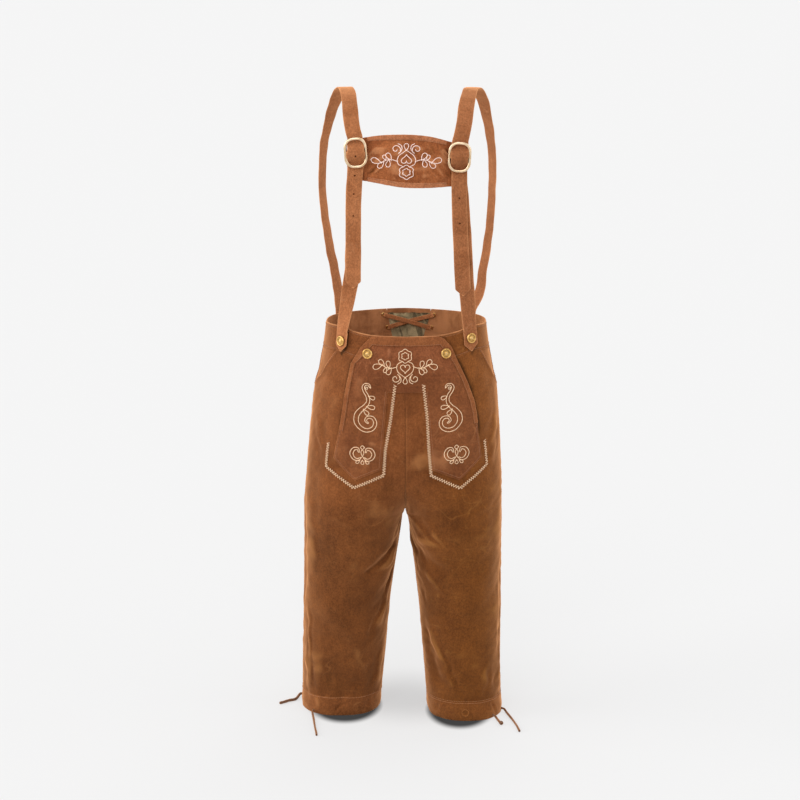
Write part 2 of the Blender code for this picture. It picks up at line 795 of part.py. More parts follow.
def make_braces(finish):
    """Each brace is a long shoulder strap, which comes over the shoulder from the back and
    through the buckle, and a short front strap that holds the buckle's bar."""
    for side, word in ((-1, "right"), (1, "left")):
        table = [strap_row(side, row) for row in SHOULDER_STRAP]
        tab = tab_rows(side, BACK_TABS[side])
        free_end = curve_through(table[: WEAVE.start + 1], 0.0125)
        over_shoulder = curve_through([*table[WEAVE.stop - 1 :], *tab], 0.0110)
        path = [*free_end, *table[WEAVE.start + 1 : WEAVE.stop - 1], *over_shoulder]
        rows = point_rows(path, STRAP_POINT, STRAP_WIDTH)
        rows = point_rows(rows[::-1], STRAP_POINT, STRAP_WIDTH)[::-1]
        ribbon(
            f"shoulder_strap_{word}", finish, rows, STRAP_WIDTH, STRAP, (STRAP_POINT,) * 2
        )
        tab = tab_rows(side, FRONT_TABS[side])
        table = [strap_row(side, row) for row in LOWER_STRAP]
        path = curve_through([*tab[::-1], *table], 0.0108)
        rows = point_rows(path, STRAP_POINT, STRAP_WIDTH)
        rows += loop_round_bar(side, rows[-1])
        ribbon(f"front_strap_{word}", finish, rows, STRAP_WIDTH, STRAP, (STRAP_POINT, 0))


def loop_round_bar(side, last):
    """The strap's turn over the buckle's bar, from behind it to its front."""
    radius = BAR + 2 * SEAM + STRAP / 2
    centre = buckle_centre(side)
    rows = []
    for degrees in range(0, 211, 30):
        angle = math.radians(degrees)
        rows.append(
            (
                last[0],
                centre.y + radius * math.cos(angle),
                centre.z + radius * math.sin(angle),
                *last[3:6],
            )
        )
    return rows


def buckle_centre(side):
    x, _, z = strap_row(side, SHOULDER_STRAP[OVER_BAR])[:3]
    return Vector((x, BUCKLE_Y, z))


BuckleCorner = namedtuple("BuckleCorner", "x z radius")
BUCKLE_CORNERS = (
    BuckleCorner(0.0180, 0.0248, 0.0125),
    BuckleCorner(-0.0178, 0.0248, 0.0125),
    BuckleCorner(-0.0184, -0.0248, 0.0120),
    BuckleCorner(0.0179, -0.0248, 0.0125),
)
BAR_LENGTH = 0.0330
BAR_SHIFT = 0.0
BUCKLE_TURN = {-1: -5, 1: 3}


def rounded_loop(corners, steps):
    """A closed loop through rounded corners, anticlockwise as x and z."""
    loop = []
    count = len(corners)
    for index, corner in enumerate(corners):
        here = Vector((corner.x, corner.z))
        before = Vector((corners[index - 1].x, corners[index - 1].z))
        after_row = corners[(index + 1) % count]
        after = Vector((after_row.x, after_row.z))
        inward = (before - here).normalized()
        outward = (after - here).normalized()
        bend = inward.angle(outward) / 2
        centre = here + (inward + outward).normalized() * (corner.radius / math.sin(bend))
        start = here + inward * (corner.radius / math.tan(bend)) - centre
        sweep = math.pi - 2 * bend
        for step in range(steps + 1):
            angle = sweep * step / steps
            turned = Vector(
                (
                    start.x * math.cos(angle) - start.y * math.sin(angle),
                    start.x * math.sin(angle) + start.y * math.cos(angle),
                )
            )
            loop.append(centre + turned)
    return loop


def make_buckles(brass):
    """A rounded ring of round bar with a cross bar, cast in one."""
    for side, word in ((-1, "right"), (1, "left")):
        loop = rounded_loop(BUCKLE_CORNERS, 4)
        shape = bmesh.new()
        rings = []
        sides = 8
        for index, place in enumerate(loop):
            tangent = (loop[(index + 1) % len(loop)] - loop[index - 1]).normalized()
            outward = Vector((tangent.y, -tangent.x))
            ring = []
            for corner in range(sides):
                angle = 2 * math.pi * (corner + 0.5) / sides
                across = math.cos(angle) * RIM
                ring.append(
                    shape.verts.new(
                        (
                            place.x + outward.x * across,
                            math.sin(angle) * RIM,
                            place.y + outward.y * across,
                        )
                    )
                )
            rings.append(ring)
        for index, ring in enumerate(rings):
            after = rings[(index + 1) % len(rings)]
            for corner in range(sides):
                across = (corner + 1) % sides
                shape.faces.new((ring[corner], ring[across], after[across], after[corner]))
        bmesh.ops.recalc_face_normals(shape, faces=shape.faces)
        mesh = bpy.data.meshes.new(f"buckle_{word}")
        shape.to_mesh(mesh)
        shape.free()
        buckle = add_object(f"buckle_{word}", mesh, brass, 60)
        bar = make_bar(f"buckle_bar_{word}", BAR_LENGTH, BAR, brass)
        bar.location = buckle_centre(side) + Vector((BAR_SHIFT, 0, 0))
        buckle.location = buckle_centre(side)
        buckle.rotation_euler = (0, math.radians(BUCKLE_TURN[side]), 0)
        union = buckle.modifiers.new("cross_bar", "BOOLEAN")
        union.operation = "UNION"
        union.object = bar


def make_bar(name, length, radius, finish):
    """A round bar along x, used to join the cross bar to a buckle's ring."""
    shape = bmesh.new()
    bmesh.ops.create_cone(
        shape, cap_ends=True, segments=8, radius1=radius, radius2=radius, depth=length
    )
    for vert in shape.verts:
        vert.co = Vector((vert.co.z, vert.co.x, vert.co.y))
    bmesh.ops.recalc_face_normals(shape, faces=shape.faces)
    mesh = bpy.data.meshes.new(name)
    shape.to_mesh(mesh)
    shape.free()
    bar = add_object(name, mesh, finish)
    bar.hide_render = True
    bar.display_type = "WIRE"
    return bar


# The chest piece joins the braces: edge heights from its right end to its left
ChestRow = namedtuple("ChestRow", "x low high y")
CHEST_PIECE = (
    ChestRow(-0.104, 1.0455, 1.1125, -0.1084),
    ChestRow(-0.072, 1.0402, 1.1182, -0.1085),
    ChestRow(-0.056, 1.0385, 1.1215, -0.1160),
    ChestRow(-0.033, 1.0345, 1.1240, -0.1215),
    ChestRow(-0.005, 1.0305, 1.1248, -0.1238),
    ChestRow(0.018, 1.0295, 1.1240, -0.1238),
    ChestRow(0.043, 1.0295, 1.1210, -0.1210),
    ChestRow(0.063, 1.0300, 1.1160, -0.1155),
    ChestRow(0.080, 1.0304, 1.1104, -0.1086),
    ChestRow(0.108, 1.0340, 1.1040, -0.1084),
)
CHEST_BORDER = 0.009
CHEST_HEIGHT = 0.090


def chest_place(across, share, out):
    """A point of the chest piece: share is 0 on its lower edge and 1 on its upper edge."""
    low, high, y = (blend(CHEST_PIECE, column, across) for column in ("low", "high", "y"))
    step = 0.001
    slope = (
        blend(CHEST_PIECE, "y", across + step) - blend(CHEST_PIECE, "y", across - step)
    ) / (2 * step)
    normal = Vector((slope, -1, 0)).normalized()
    return Vector((across, y, low + (high - low) * share - SHOULDER)) + normal * out


def make_chest_piece(finish):
    columns = list(np.linspace(CHEST_PIECE[0].x, CHEST_PIECE[-1].x, 19))
    rows = [0, 1 / 3, 2 / 3, 1]
    cut_piece("chest_piece", finish, chest_place, columns, rows, -STRAP, 0)
    inner_columns = columns[3:-3]
    share = CHEST_BORDER / CHEST_HEIGHT
    for word, low, high in (("lower", 0, share), ("upper", 1 - share, 1)):
        cut_piece(
            f"chest_border_{word}",
            finish,
            chest_place,
            inner_columns,
            [low, high],
            SEAM,
            SEAM + TRIM,
        )


# ---------------------------------------------------------------- fastenings
ButtonRing = namedtuple("ButtonRing", "radius rise")
BUTTON_PROFILE = (
    ButtonRing(0.0090, 0.0000),
    ButtonRing(0.0096, 0.0014),
    ButtonRing(0.0086, 0.0030),
    ButtonRing(0.0072, 0.0031),
    ButtonRing(0.0060, 0.0021),
)
EYELET_PROFILE = (
    ButtonRing(0.0021, 0.0000),
    ButtonRing(0.0044, 0.0000),
    ButtonRing(0.0040, 0.0008),
    ButtonRing(0.0024, 0.0009),
)


def turned(name, profile, segments, closed, finish, place, facing, smooth_angle=50):
    """A piece turned round an axis. A closed profile makes a ring, an open one a disc."""
    shape = bmesh.new()
    rings = []
    for row in profile:
        ring = []
        for index in range(segments):
            angle = 2 * math.pi * index / segments
            spot = (row.radius * math.cos(angle), row.radius * math.sin(angle), row.rise)
            ring.append(shape.verts.new(spot))
        rings.append(ring)
    pairs = list(zip(rings, rings[1:]))
    if closed:
        pairs.append((rings[-1], rings[0]))
    else:
        shape.faces.new(rings[0])
        shape.faces.new(rings[-1])
    for low, high in pairs:
        for index in range(segments):
            after = (index + 1) % segments
            shape.faces.new((low[index], low[after], high[after], high[index]))
    bmesh.ops.recalc_face_normals(shape, faces=shape.faces)
    mesh = bpy.data.meshes.new(name)
    shape.to_mesh(mesh)
    shape.free()
    turn_outward(mesh)
    made = add_object(name, mesh, finish, smooth_angle)
    made.location = place
    made.rotation_euler = facing.to_track_quat("Z", "Y").to_euler()
    return made


def face_normal(side, girth, level, step=0.006):
    """The direction that the panels' face looks in, across a button's width."""
    reach = step / GIRTH_SCALE
    around = leather(side, girth + reach, level, 0) - leather(side, girth - reach, level, 0)
    upward = leather(side, girth, level + step, 0) - leather(side, girth, level - step, 0)
    normal = around.cross(upward).normalized()
    straight_out = leather(side, girth, level, step) - leather(side, girth, level, 0)
    return normal if normal.dot(straight_out) > 0 else -normal


FLAP_BUTTON_X = {-1: 0.068, 1: 0.0725}
FLAP_BUTTON_LEVEL = 0.7325
SHANK = 0.0005


def make_buttons(horn):
    """Fixed buttons on the braces' four tabs and at the drop front's two corners."""
    for side, word in ((-1, "right"), (1, "left")):
        for where, tab in (("front", FRONT_TABS[side]), ("back", BACK_TABS[side])):
            turn = Matrix.Rotation(math.radians(-side * tab.turn), 3, "Z")
            facing = turn @ face_normal(side, tab.girth, tab.button_level)
            place = leather(side, tab.girth, tab.button_level, tab.gap + STRAP / 2)
            place += facing * (STRAP / 2 + 2 * SEAM)
            name = f"tab_button_{where}_{word}"
            turned(name, BUTTON_PROFILE, 14, False, horn, place, facing)
        girth = 1 - abs(across_at(side * FLAP_BUTTON_X[side], FLAP_BUTTON_LEVEL))
        place = leather(side, girth, FLAP_BUTTON_LEVEL, EDGING_OUT + TRIM + SEAM + SHANK)
        facing = face_normal(side, girth, FLAP_BUTTON_LEVEL)
        name = f"drop_front_button_{word}"
        turned(name, BUTTON_PROFILE, 14, False, horn, place, facing)


Eyelet = namedtuple("Eyelet", "word side girth level")
EYELETS = (
    Eyelet("upper_right", -1, 0.805, 0.7545),
    Eyelet("lower_right", -1, 0.845, 0.7290),
    Eyelet("upper_left", 1, 0.742, 0.7545),
    Eyelet("lower_left", 1, 0.772, 0.7290),
)
EYELET_GAP = 0.0005
LACE_WIDTH = 0.0080
LACE = 0.0014
LACE_LIFT = 0.0032
CROSSING_LIFT = 0.0029


def make_back_lacing(brass, lace):
    """Two crossed lengths of lace over the gusset's inside, and the eyelets they enter."""
    for eyelet in EYELETS:
        for word, out, turn in (
            ("inside", -LEATHER - EYELET_GAP, -1),
            ("outside", BAND_PROUD + EYELET_GAP, 1),
        ):
            place = leather(eyelet.side, -eyelet.girth, eyelet.level, out)
            facing = face_normal(eyelet.side, -eyelet.girth, eyelet.level) * turn
            name = f"eyelet_{eyelet.word}_{word}"
            turned(name, EYELET_PROFILE, 10, True, brass, place, facing)
    for name, first, last, depth in (
        ("back_lace_under", EYELETS[1], EYELETS[2], 0.0),
        ("back_lace_over", EYELETS[0], EYELETS[3], CROSSING_LIFT),
    ):
        rows = []
        for share in np.linspace(0, 1, 9):
            start = first.side * (1 - first.girth)
            stop = last.side * (1 - last.girth)
            across = start + (stop - start) * share
            level = first.level + (last.level - first.level) * share
            lift = LACE_LIFT + depth * math.sin(math.pi * share)
            place = back(across, level, -LEATHER - lift)
            rows.append((*place, 0.0, 0.0, 1.0))
        ribbon(name, lace, rows, LACE_WIDTH, LACE)


# ---------------------------------------------------------------- knee laces
# The free ends lie level with the hem, and start at the cuff: distances from the origin
LaceEnd = namedtuple("LaceEnd", "name girth radius points")
LACE_ENDS = (
    LaceEnd(
        "knee_lace_right_back",
        -0.10,
        0.0026,
        ((-0.2150, 0.0210), (-0.2270, 0.0135), (-0.2370, 0.0050), (-0.2450, -0.0010)),
    ),
    LaceEnd(
        "knee_lace_right_front",
        0.28,
        0.0020,
        ((-0.1775, -0.0660), (-0.1755, -0.0830), (-0.1735, -0.1040), (-0.1710, -0.1270),
         (-0.1685, -0.1460), (-0.1670, -0.1610)),
    ),
    LaceEnd(
        "knee_lace_left_front",
        0.26,
        0.0022,
        ((0.1765, -0.0815), (0.1790, -0.0910), (0.1820, -0.1020)),
    ),
    LaceEnd(
        "knee_lace_left_back",
        0.10,
        0.0021,
        ((0.1960, -0.0470), (0.2020, -0.0700), (0.2080, -0.0950), (0.2130, -0.1200),
         (0.2160, -0.1420)),
    ),
)
LACE_EXIT_LEVEL = 0.006
LACE_SAG = 0.001
KNOT_RADIUS = 0.0042
KNOT_SHIFT = 0.0010


def make_knee_laces(lace):
    """The drawstring's free ends, which leave each cuff beside its slit, and one knot."""
    out = CUFF_PROUD + SEAM
    for row in LACE_ENDS:
        side = -1 if row.points[0][0] < 0 else 1
        exit_point = leather(side, row.girth, LACE_EXIT_LEVEL, out)
        leaving = leather(side, row.girth, LACE_EXIT_LEVEL, out + 3 * row.radius)
        leaving.z -= LACE_SAG
        points = [exit_point, leaving]
        points += [Vector((x, y, row.radius - SHOULDER)) for x, y in row.points]
        path = curve_through([tuple(point) for point in points], row.radius * 4)
        add_tube(row.name, [Vector(point) for point in path], row.radius, lace)
    end = LACE_ENDS[2]
    x, y = end.points[-1]
    knot_profile = [
        ButtonRing(KNOT_RADIUS * math.cos(angle), KNOT_RADIUS * math.sin(angle))
        for angle in np.radians((-65, -25, 25, 65))
    ]
    place = Vector((x + KNOT_SHIFT, y - KNOT_RADIUS - SEAM, KNOT_RADIUS - SHOULDER))
    turned("knee_lace_knot", knot_profile, 8, False, lace, place, Vector((0.15, -1, 0)))


def add_tube(name, points, radius, finish):
    curve = bpy.data.curves.new(name, "CURVE")
    curve.dimensions = "3D"
    curve.bevel_depth = radius
    curve.bevel_resolution = 2
    curve.use_fill_caps = True
    spline = curve.splines.new("POLY")
    spline.points.add(len(points) - 1)
    for spot, point in zip(spline.points, points):
        spot.co = (*point, 1)
    curve.materials.append(finish)
    made = bpy.data.objects.new(name, curve)
    bpy.context.scene.collection.objects.link(made)
    return made


SNAP_GIRTH = 0.50
SNAP_LEVEL = 0.017
SNAP_GAP = 0.0008


def make_cuff_snap(finish):
    """The covered fastening on the left knee band, which stands up as a low ring."""
    place = leather(1, SNAP_GIRTH, SNAP_LEVEL, CUFF_PROUD + SNAP_GAP)
    profile = (
        ButtonRing(0.0082, 0.0000),
        ButtonRing(0.0076, 0.0014),
        ButtonRing(0.0056, 0.0014),
        ButtonRing(0.0046, 0.0006),
    )
    facing = face_normal(1, SNAP_GIRTH, SNAP_LEVEL)
    turned("cuff_snap", profile, 14, False, finish, place, facing)


def main():
    clear_scene()
    suede = material("suede", (0.22, 0.080, 0.026), 0.92)
    strap_suede = material("strap suede", (0.36, 0.150, 0.070), 0.9)
    gusset_cloth = material("gusset cloth", (0.155, 0.127, 0.080), 0.95)
    brass = material("champagne brass", (0.78, 0.58, 0.33), 0.28, 1.0)
    horn = material("horn button", (0.52, 0.28, 0.075), 0.38)
    lace = material("lace leather", (0.19, 0.070, 0.025), 0.85)
    make_panels(suede)
    make_waistband(suede, gusset_cloth)
    make_flap(suede)
    make_cuffs(suede)
    make_braces(strap_suede)
    make_buckles(brass)
    make_chest_piece(strap_suede)
    make_buttons(horn)
    make_back_lacing(brass, lace)
    make_knee_laces(lace)
    make_cuff_snap(suede)


main()
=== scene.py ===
# %% [markdown]
# # Lederhosen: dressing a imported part
#
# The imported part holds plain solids: every strap, panel and button with its real size and
# place. This lesson dresses them. Each leather piece is cut again as a finer wall on the
# same surface, with its creases, seams and stitches, and gets a suede material.
# Heights are given above the hem, and the whole object is lowered by the height of the
# shoulders, because the origin lies there. -Y is the front, and +X is the wearer's left.

# %% Load the frame
import json
import math
from collections import namedtuple

import bmesh
import bpy
import numpy as np
from mathutils import Euler, Matrix, Vector
from mathutils.geometry import delaunay_2d_cdt

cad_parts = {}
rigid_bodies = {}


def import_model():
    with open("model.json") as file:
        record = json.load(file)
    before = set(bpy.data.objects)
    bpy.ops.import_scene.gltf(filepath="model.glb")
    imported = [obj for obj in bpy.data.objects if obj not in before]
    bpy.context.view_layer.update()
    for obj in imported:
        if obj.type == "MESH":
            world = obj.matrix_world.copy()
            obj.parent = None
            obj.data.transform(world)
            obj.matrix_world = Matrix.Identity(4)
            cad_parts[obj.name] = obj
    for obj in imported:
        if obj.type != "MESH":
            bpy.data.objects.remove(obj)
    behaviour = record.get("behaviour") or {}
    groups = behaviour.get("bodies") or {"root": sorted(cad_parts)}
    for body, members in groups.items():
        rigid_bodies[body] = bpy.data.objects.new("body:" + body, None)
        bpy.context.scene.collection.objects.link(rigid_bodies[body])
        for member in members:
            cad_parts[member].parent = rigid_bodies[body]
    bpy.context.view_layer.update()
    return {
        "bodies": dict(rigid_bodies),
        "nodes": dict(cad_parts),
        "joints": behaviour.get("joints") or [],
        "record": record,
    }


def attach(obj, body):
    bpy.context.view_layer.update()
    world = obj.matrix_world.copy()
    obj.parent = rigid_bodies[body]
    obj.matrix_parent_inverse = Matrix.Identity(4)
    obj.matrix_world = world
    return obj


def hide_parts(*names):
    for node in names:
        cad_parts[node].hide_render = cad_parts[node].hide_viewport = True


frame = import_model()
scene = bpy.context.scene

# %% [markdown]
# ## The camera
#
# Through a long lens and from far off, clothes look flat and straight. So the camera stands
# nearly four metres away, a little above the shoulders, and looks down.

# %% Camera
SHOULDER = 1.200
IMAGE_WIDTH = 800
TANGENT_PER_PIXEL = 0.000484
CAMERA_PLACE = (-0.010, -3.8, 1.51 - SHOULDER)
CAMERA_LOOKS_DOWN = 13.3

lens = bpy.data.cameras.new("camera")
lens.sensor_width = 36
lens.lens = lens.sensor_width / (IMAGE_WIDTH * TANGENT_PER_PIXEL)
camera = bpy.data.objects.new("camera", lens)
camera.location = CAMERA_PLACE
camera.rotation_euler = (math.radians(90 - CAMERA_LOOKS_DOWN), 0, 0)
scene.collection.objects.link(camera)
scene.camera = camera
print("lens:", round(lens.lens, 1), "mm")

# %% [markdown]
# ## Floor and light
#
# The studio is a pale floor without an edge, lit as evenly as an overcast sky. Suns with a
# very wide disc give soft shadows that are the same everywhere on the floor: the key from
# the front left, which throws the shadow to the right and behind, one low from the left,
# which brightens the outlines, a weak one from the right for the same, and a weak one from
# the back, so that the hidden side can be seen too. The floor hardly darkens under such
# light where the hems touch it, so shadows are painted into its own colour: a dark patch
# under each leg, once the helpers for materials are there. Blender's Standard view shows
# colours as they are.

# %% Studio
WORLD_GREY = 0.913
FLOOR_GAP = 0.0005
FLOOR_REACH = 60

scene.view_settings.view_transform = "Standard"
world = bpy.data.worlds.new("studio")
world.use_nodes = True
sky = world.node_tree.nodes["Background"].inputs
sky["Color"].default_value = (WORLD_GREY, WORLD_GREY, WORLD_GREY, 1)
sky["Strength"].default_value = 1.0
scene.world = world


def add_sun(name, energy, width_degrees, towards):
    sun = bpy.data.lights.new(name, "SUN")
    sun.energy = energy
    sun.angle = math.radians(width_degrees)
    made = bpy.data.objects.new(name, sun)
    made.rotation_euler = Vector(towards).to_track_quat("-Z", "Y").to_euler()
    scene.collection.objects.link(made)


add_sun("key", 0.80, 45, (0.24, 1.0, -0.80))
add_sun("side", 2.00, 50, (1.0, 0.12, -0.30))
add_sun("fill", 0.55, 50, (-1.0, 0.12, -0.30))
add_sun("rim", 0.50, 60, (-0.2, -0.75, -0.65))

floor_paint = bpy.data.materials.new("pale floor")
floor_paint.use_nodes = True
floor_shader = floor_paint.node_tree.nodes["Principled BSDF"]
floor_shader.inputs["Roughness"].default_value = 1.0
floor_shader.inputs["Specular IOR Level"].default_value = 0.0
FLOOR = -SHOULDER - FLOOR_GAP
floor_corners = [
    (x * FLOOR_REACH, y * FLOOR_REACH, FLOOR) for x, y in ((-1, -1), (1, -1), (1, 1), (-1, 1))
]
floor_mesh = bpy.data.meshes.new("floor")
floor_mesh.from_pydata(floor_corners, [], [(0, 1, 2, 3)])
floor_mesh.materials.append(floor_paint)
floor = bpy.data.objects.new("floor", floor_mesh)
scene.collection.objects.link(floor)
print("floor at", FLOOR)

# %% [markdown]
# ## The surface that the leather is cut on
#
# Real trousers are cut flat and sewn into a tube. Here one surface plays the wearer: a ring
# round each leg, which opens above the fork into one tube. A place on it is a side (-1 the
# wearer's right leg, 1 the left), a girth (-1 middle back, 0 side seam, 1 middle front) and
# a level above the hem. It is the same surface as the solids have, so everything fits them.
# The rings are worked out once for many heights and then read between them, all points of
# a piece at once, because a fine mesh has tens of thousands of points.

# %% Measurements of the trousers
# Heights above the hem, thicknesses, and how far the fork's curve reaches up
WAIST = 0.766
BAND_SEAM = 0.720
CROTCH = 0.405
CUFF_TOP = 0.038
LEATHER = 0.0016
SEAM = 0.0003
TRIM = 0.0010
FRONT_FORK = 0.100
BACK_FORK = 0.140
SQUARENESS = 2.25
FORK_PULL = 5
GIRTH_SCALE = 0.26
HEM_BACK = {-1: 0.016, 1: -0.012}

# Each section's half widths from the middle, its inner gaps and its depths
Section = namedtuple("Section", "height right_side left_side right_in left_in front back")
SECTIONS = (
    Section(0.000, 0.201, 0.187, 0.050, 0.045, 0.074, 0.078),
    Section(0.110, 0.199, 0.184, 0.039, 0.036, 0.080, 0.084),
    Section(0.215, 0.196, 0.184, 0.030, 0.027, 0.089, 0.093),
    Section(0.310, 0.194, 0.184, 0.017, 0.016, 0.099, 0.107),
    Section(0.375, 0.193, 0.184, 0.0075, 0.0075, 0.108, 0.119),
    Section(0.396, 0.193, 0.184, 0.0045, 0.0045, 0.110, 0.122),
    Section(CROTCH, 0.193, 0.184, 0.0, 0.0, 0.111, 0.123),
    Section(0.470, 0.188, 0.183, 0.0, 0.0, 0.115, 0.129),
    Section(0.530, 0.183, 0.180, 0.0, 0.0, 0.118, 0.130),
    Section(0.592, 0.177, 0.176, 0.0, 0.0, 0.119, 0.128),
    Section(0.654, 0.169, 0.171, 0.0, 0.0, 0.118, 0.122),
    Section(BAND_SEAM, 0.157, 0.160, 0.0, 0.0, 0.113, 0.114),
    Section(WAIST, 0.151, 0.154, 0.0, 0.0, 0.109, 0.110),
)
WaistEdge = namedtuple("WaistEdge", "girth height")
WAIST_EDGE = (
    WaistEdge(-1.0, 0.768),
    WaistEdge(-0.5, 0.766),
    WaistEdge(0.0, 0.766),
    WaistEdge(0.38, 0.769),
    WaistEdge(0.55, 0.762),
    WaistEdge(0.74, 0.757),
    WaistEdge(1.0, 0.756),
)
print("sections:", len(SECTIONS), "from the hem to", WAIST, "m")


# %% The surface
RING_POINTS = 721


def blend(table, column, at):
    """The table's column at each place, on a smooth curve that never overshoots a row."""
    places = np.array([row[0] for row in table])
    values = np.array([getattr(row, column) for row in table])
    at = np.clip(at, places[0], places[-1])
    steps = np.diff(places)
    slopes = np.diff(values) / steps
    before, after = slopes[:-1], slopes[1:]
    both = np.where(before * after > 0, before + after, 1.0)
    inner = np.where(before * after > 0, 2 * before * after / both, 0.0)
    turns = np.concatenate([slopes[:1], inner, slopes[-1:]])
    index = np.clip(np.searchsorted(places, at, "right") - 1, 0, len(steps) - 1)
    t = (at - places[index]) / steps[index]
    rise = (values[index + 1] - values[index]) * t * t * (3 - 2 * t)
    lead = t * (1 - t) ** 2 * turns[index] * steps[index]
    trail = t * t * (1 - t) * turns[index + 1] * steps[index]
    return values[index] + rise + lead - trail


def smooth_step(value, low, high):
    t = np.clip((np.asarray(value, float) - low) / (high - low), 0, 1)
    return t * t * (3 - 2 * t)


def bell(distance, reach):
    """1 at no distance, and falling off smoothly to nothing over about twice the reach."""
    return np.exp(-((distance / reach) ** 2))


# %% One ring round a leg
def half_ring(side, back, height):
    """One leg's front or back half at a height: lengths, points and outward normals."""
    outer = float(blend(SECTIONS, "right_side" if side < 0 else "left_side", height))
    depth = float(blend(SECTIONS, "back" if back else "front", height))
    if height < CROTCH:
        inner = float(blend(SECTIONS, "right_in" if side < 0 else "left_in", height))
        half_width = (outer - inner) / 2
        middle = (outer + inner) / 2
        last_angle = math.pi
    else:
        rise = min((height - CROTCH) / (BACK_FORK if back else FRONT_FORK), 1.0)
        reach = math.sqrt(rise * (2 - rise))
        ratio = (1 - reach**SQUARENESS) ** (1 / SQUARENESS)
        half_width = outer / (1 + ratio)
        middle = half_width * ratio
        last_angle = math.acos(-(ratio ** (SQUARENESS / 2)))
    angle = np.linspace(0, last_angle, RING_POINTS)
    across = np.cos(angle)
    along = np.maximum(np.sin(angle), 0)
    power = 2 / SQUARENESS
    x = middle + half_width * np.sign(across) * np.abs(across) ** power
    y = depth * along**power
    normal_x = np.sign(across) * np.abs(across) ** (2 - power) / half_width
    normal_y = along ** (2 - power) / depth
    size = np.hypot(normal_x, normal_y)
    length = np.concatenate([[0], np.cumsum(np.hypot(np.diff(x), np.diff(y)))])
    facing = 1 if back else -1
    return length, (x, facing * y, normal_x / size, facing * normal_y / size)


def columns_along(side, back, height, girth):
    """How far round a half ring each pattern column lies. Over the fork, where the rings
    grow shorter at once, only the columns near the middle seam draw together."""
    total = half_ring(side, back, height)[0][-1]
    top = CROTCH + (BACK_FORK if back else FRONT_FORK)
    if not CROTCH < height < top:
        return total * girth
    share = (height - CROTCH) / (top - CROTCH)
    low = half_ring(side, back, CROTCH)[0][-1]
    high = half_ring(side, back, top)[0][-1]
    even = low + (high - low) * share
    return even * girth + (total - even) * girth**FORK_PULL


# %% Rings at many heights
ROW_HEIGHTS = np.unique(
    np.concatenate(
        [
            np.linspace(-0.002, CROTCH - 0.0001, 120),
            CROTCH + BACK_FORK * (1 - np.cos(np.linspace(0, math.pi / 2, 70))),
            np.linspace(CROTCH + FRONT_FORK, 0.80, 90),
        ]
    )
)
GIRTHS = np.linspace(0, 1, 193)


def make_atlas(side, back):
    """x, y and the outward normal for each height and girth of one half of a leg."""
    rows = []
    for height in ROW_HEIGHTS:
        length, columns = half_ring(side, back, float(height))
        where = columns_along(side, back, float(height), GIRTHS)
        rows.append([np.interp(where, length, column) for column in columns])
    return np.moveaxis(np.array(rows), 1, 2)


ATLAS = {(side, back): make_atlas(side, back) for side in (-1, 1) for back in (False, True)}


def read_atlas(side, back, height, girth):
    atlas = ATLAS[side, back]
    row = np.clip(np.searchsorted(ROW_HEIGHTS, height, "right") - 1, 0, len(ROW_HEIGHTS) - 2)
    up = (height - ROW_HEIGHTS[row]) / (ROW_HEIGHTS[row + 1] - ROW_HEIGHTS[row])
    spot = np.clip(girth, 0, 1) * (len(GIRTHS) - 1)
    column = np.minimum(spot.astype(int), len(GIRTHS) - 2)
    over = (spot - column)[:, None]
    low = atlas[row, column] * (1 - over) + atlas[row, column + 1] * over
    high = atlas[row + 1, column] * (1 - over) + atlas[row + 1, column + 1] * over
    return low + (high - low) * up[:, None]


print("surface:", len(ROW_HEIGHTS), "heights by", len(GIRTHS), "girths for each half leg")

# %% [markdown]
# ## Creases
#
# Worn suede keeps the creases of its wearer: drag lines from the fork, soft rolls above the
# knee band, hollows behind the knee and under the seat. Noise alone would look like crumpled
# paper, because real creases have a cause and a direction. So each one is listed between
# two points, and noise only bends it and makes its depth uneven.

# %% Table of creases
Fold = namedtuple("Fold", "side girth1 height1 girth2 height2 width rise")
FOLDS = tuple(Fold(*row) for row in (
    (-1, 0.92, 0.36, 0.62, 0.285, 0.016, -0.005), (-1, 0.9, 0.3, 0.7, 0.205, 0.014, -0.0035),
    (-1, 0.3, 0.25, 0.7, 0.13, 0.02, 0.0035), (-1, 0.62, 0.075, 0.48, 0.02, 0.012, -0.003),
    (1, 0.9, 0.42, 0.62, 0.33, 0.015, 0.0045), (1, 0.86, 0.345, 0.55, 0.29, 0.014, -0.0045),
    (1, 0.85, 0.19, 0.7, 0.06, 0.016, -0.0045), (1, 0.25, 0.31, 0.5, 0.2, 0.02, 0.003),
    (-1, -0.9, 0.4, -0.5, 0.33, 0.018, -0.0055), (-1, -0.8, 0.34, -0.4, 0.25, 0.018, -0.004),
    (1, -0.9, 0.39, -0.52, 0.335, 0.018, -0.0055), (1, -0.82, 0.32, -0.42, 0.27, 0.018, -0.004),
    (-1, -0.7, 0.18, -0.35, 0.11, 0.018, 0.0035), (1, -0.68, 0.16, -0.3, 0.12, 0.018, 0.0035),
))
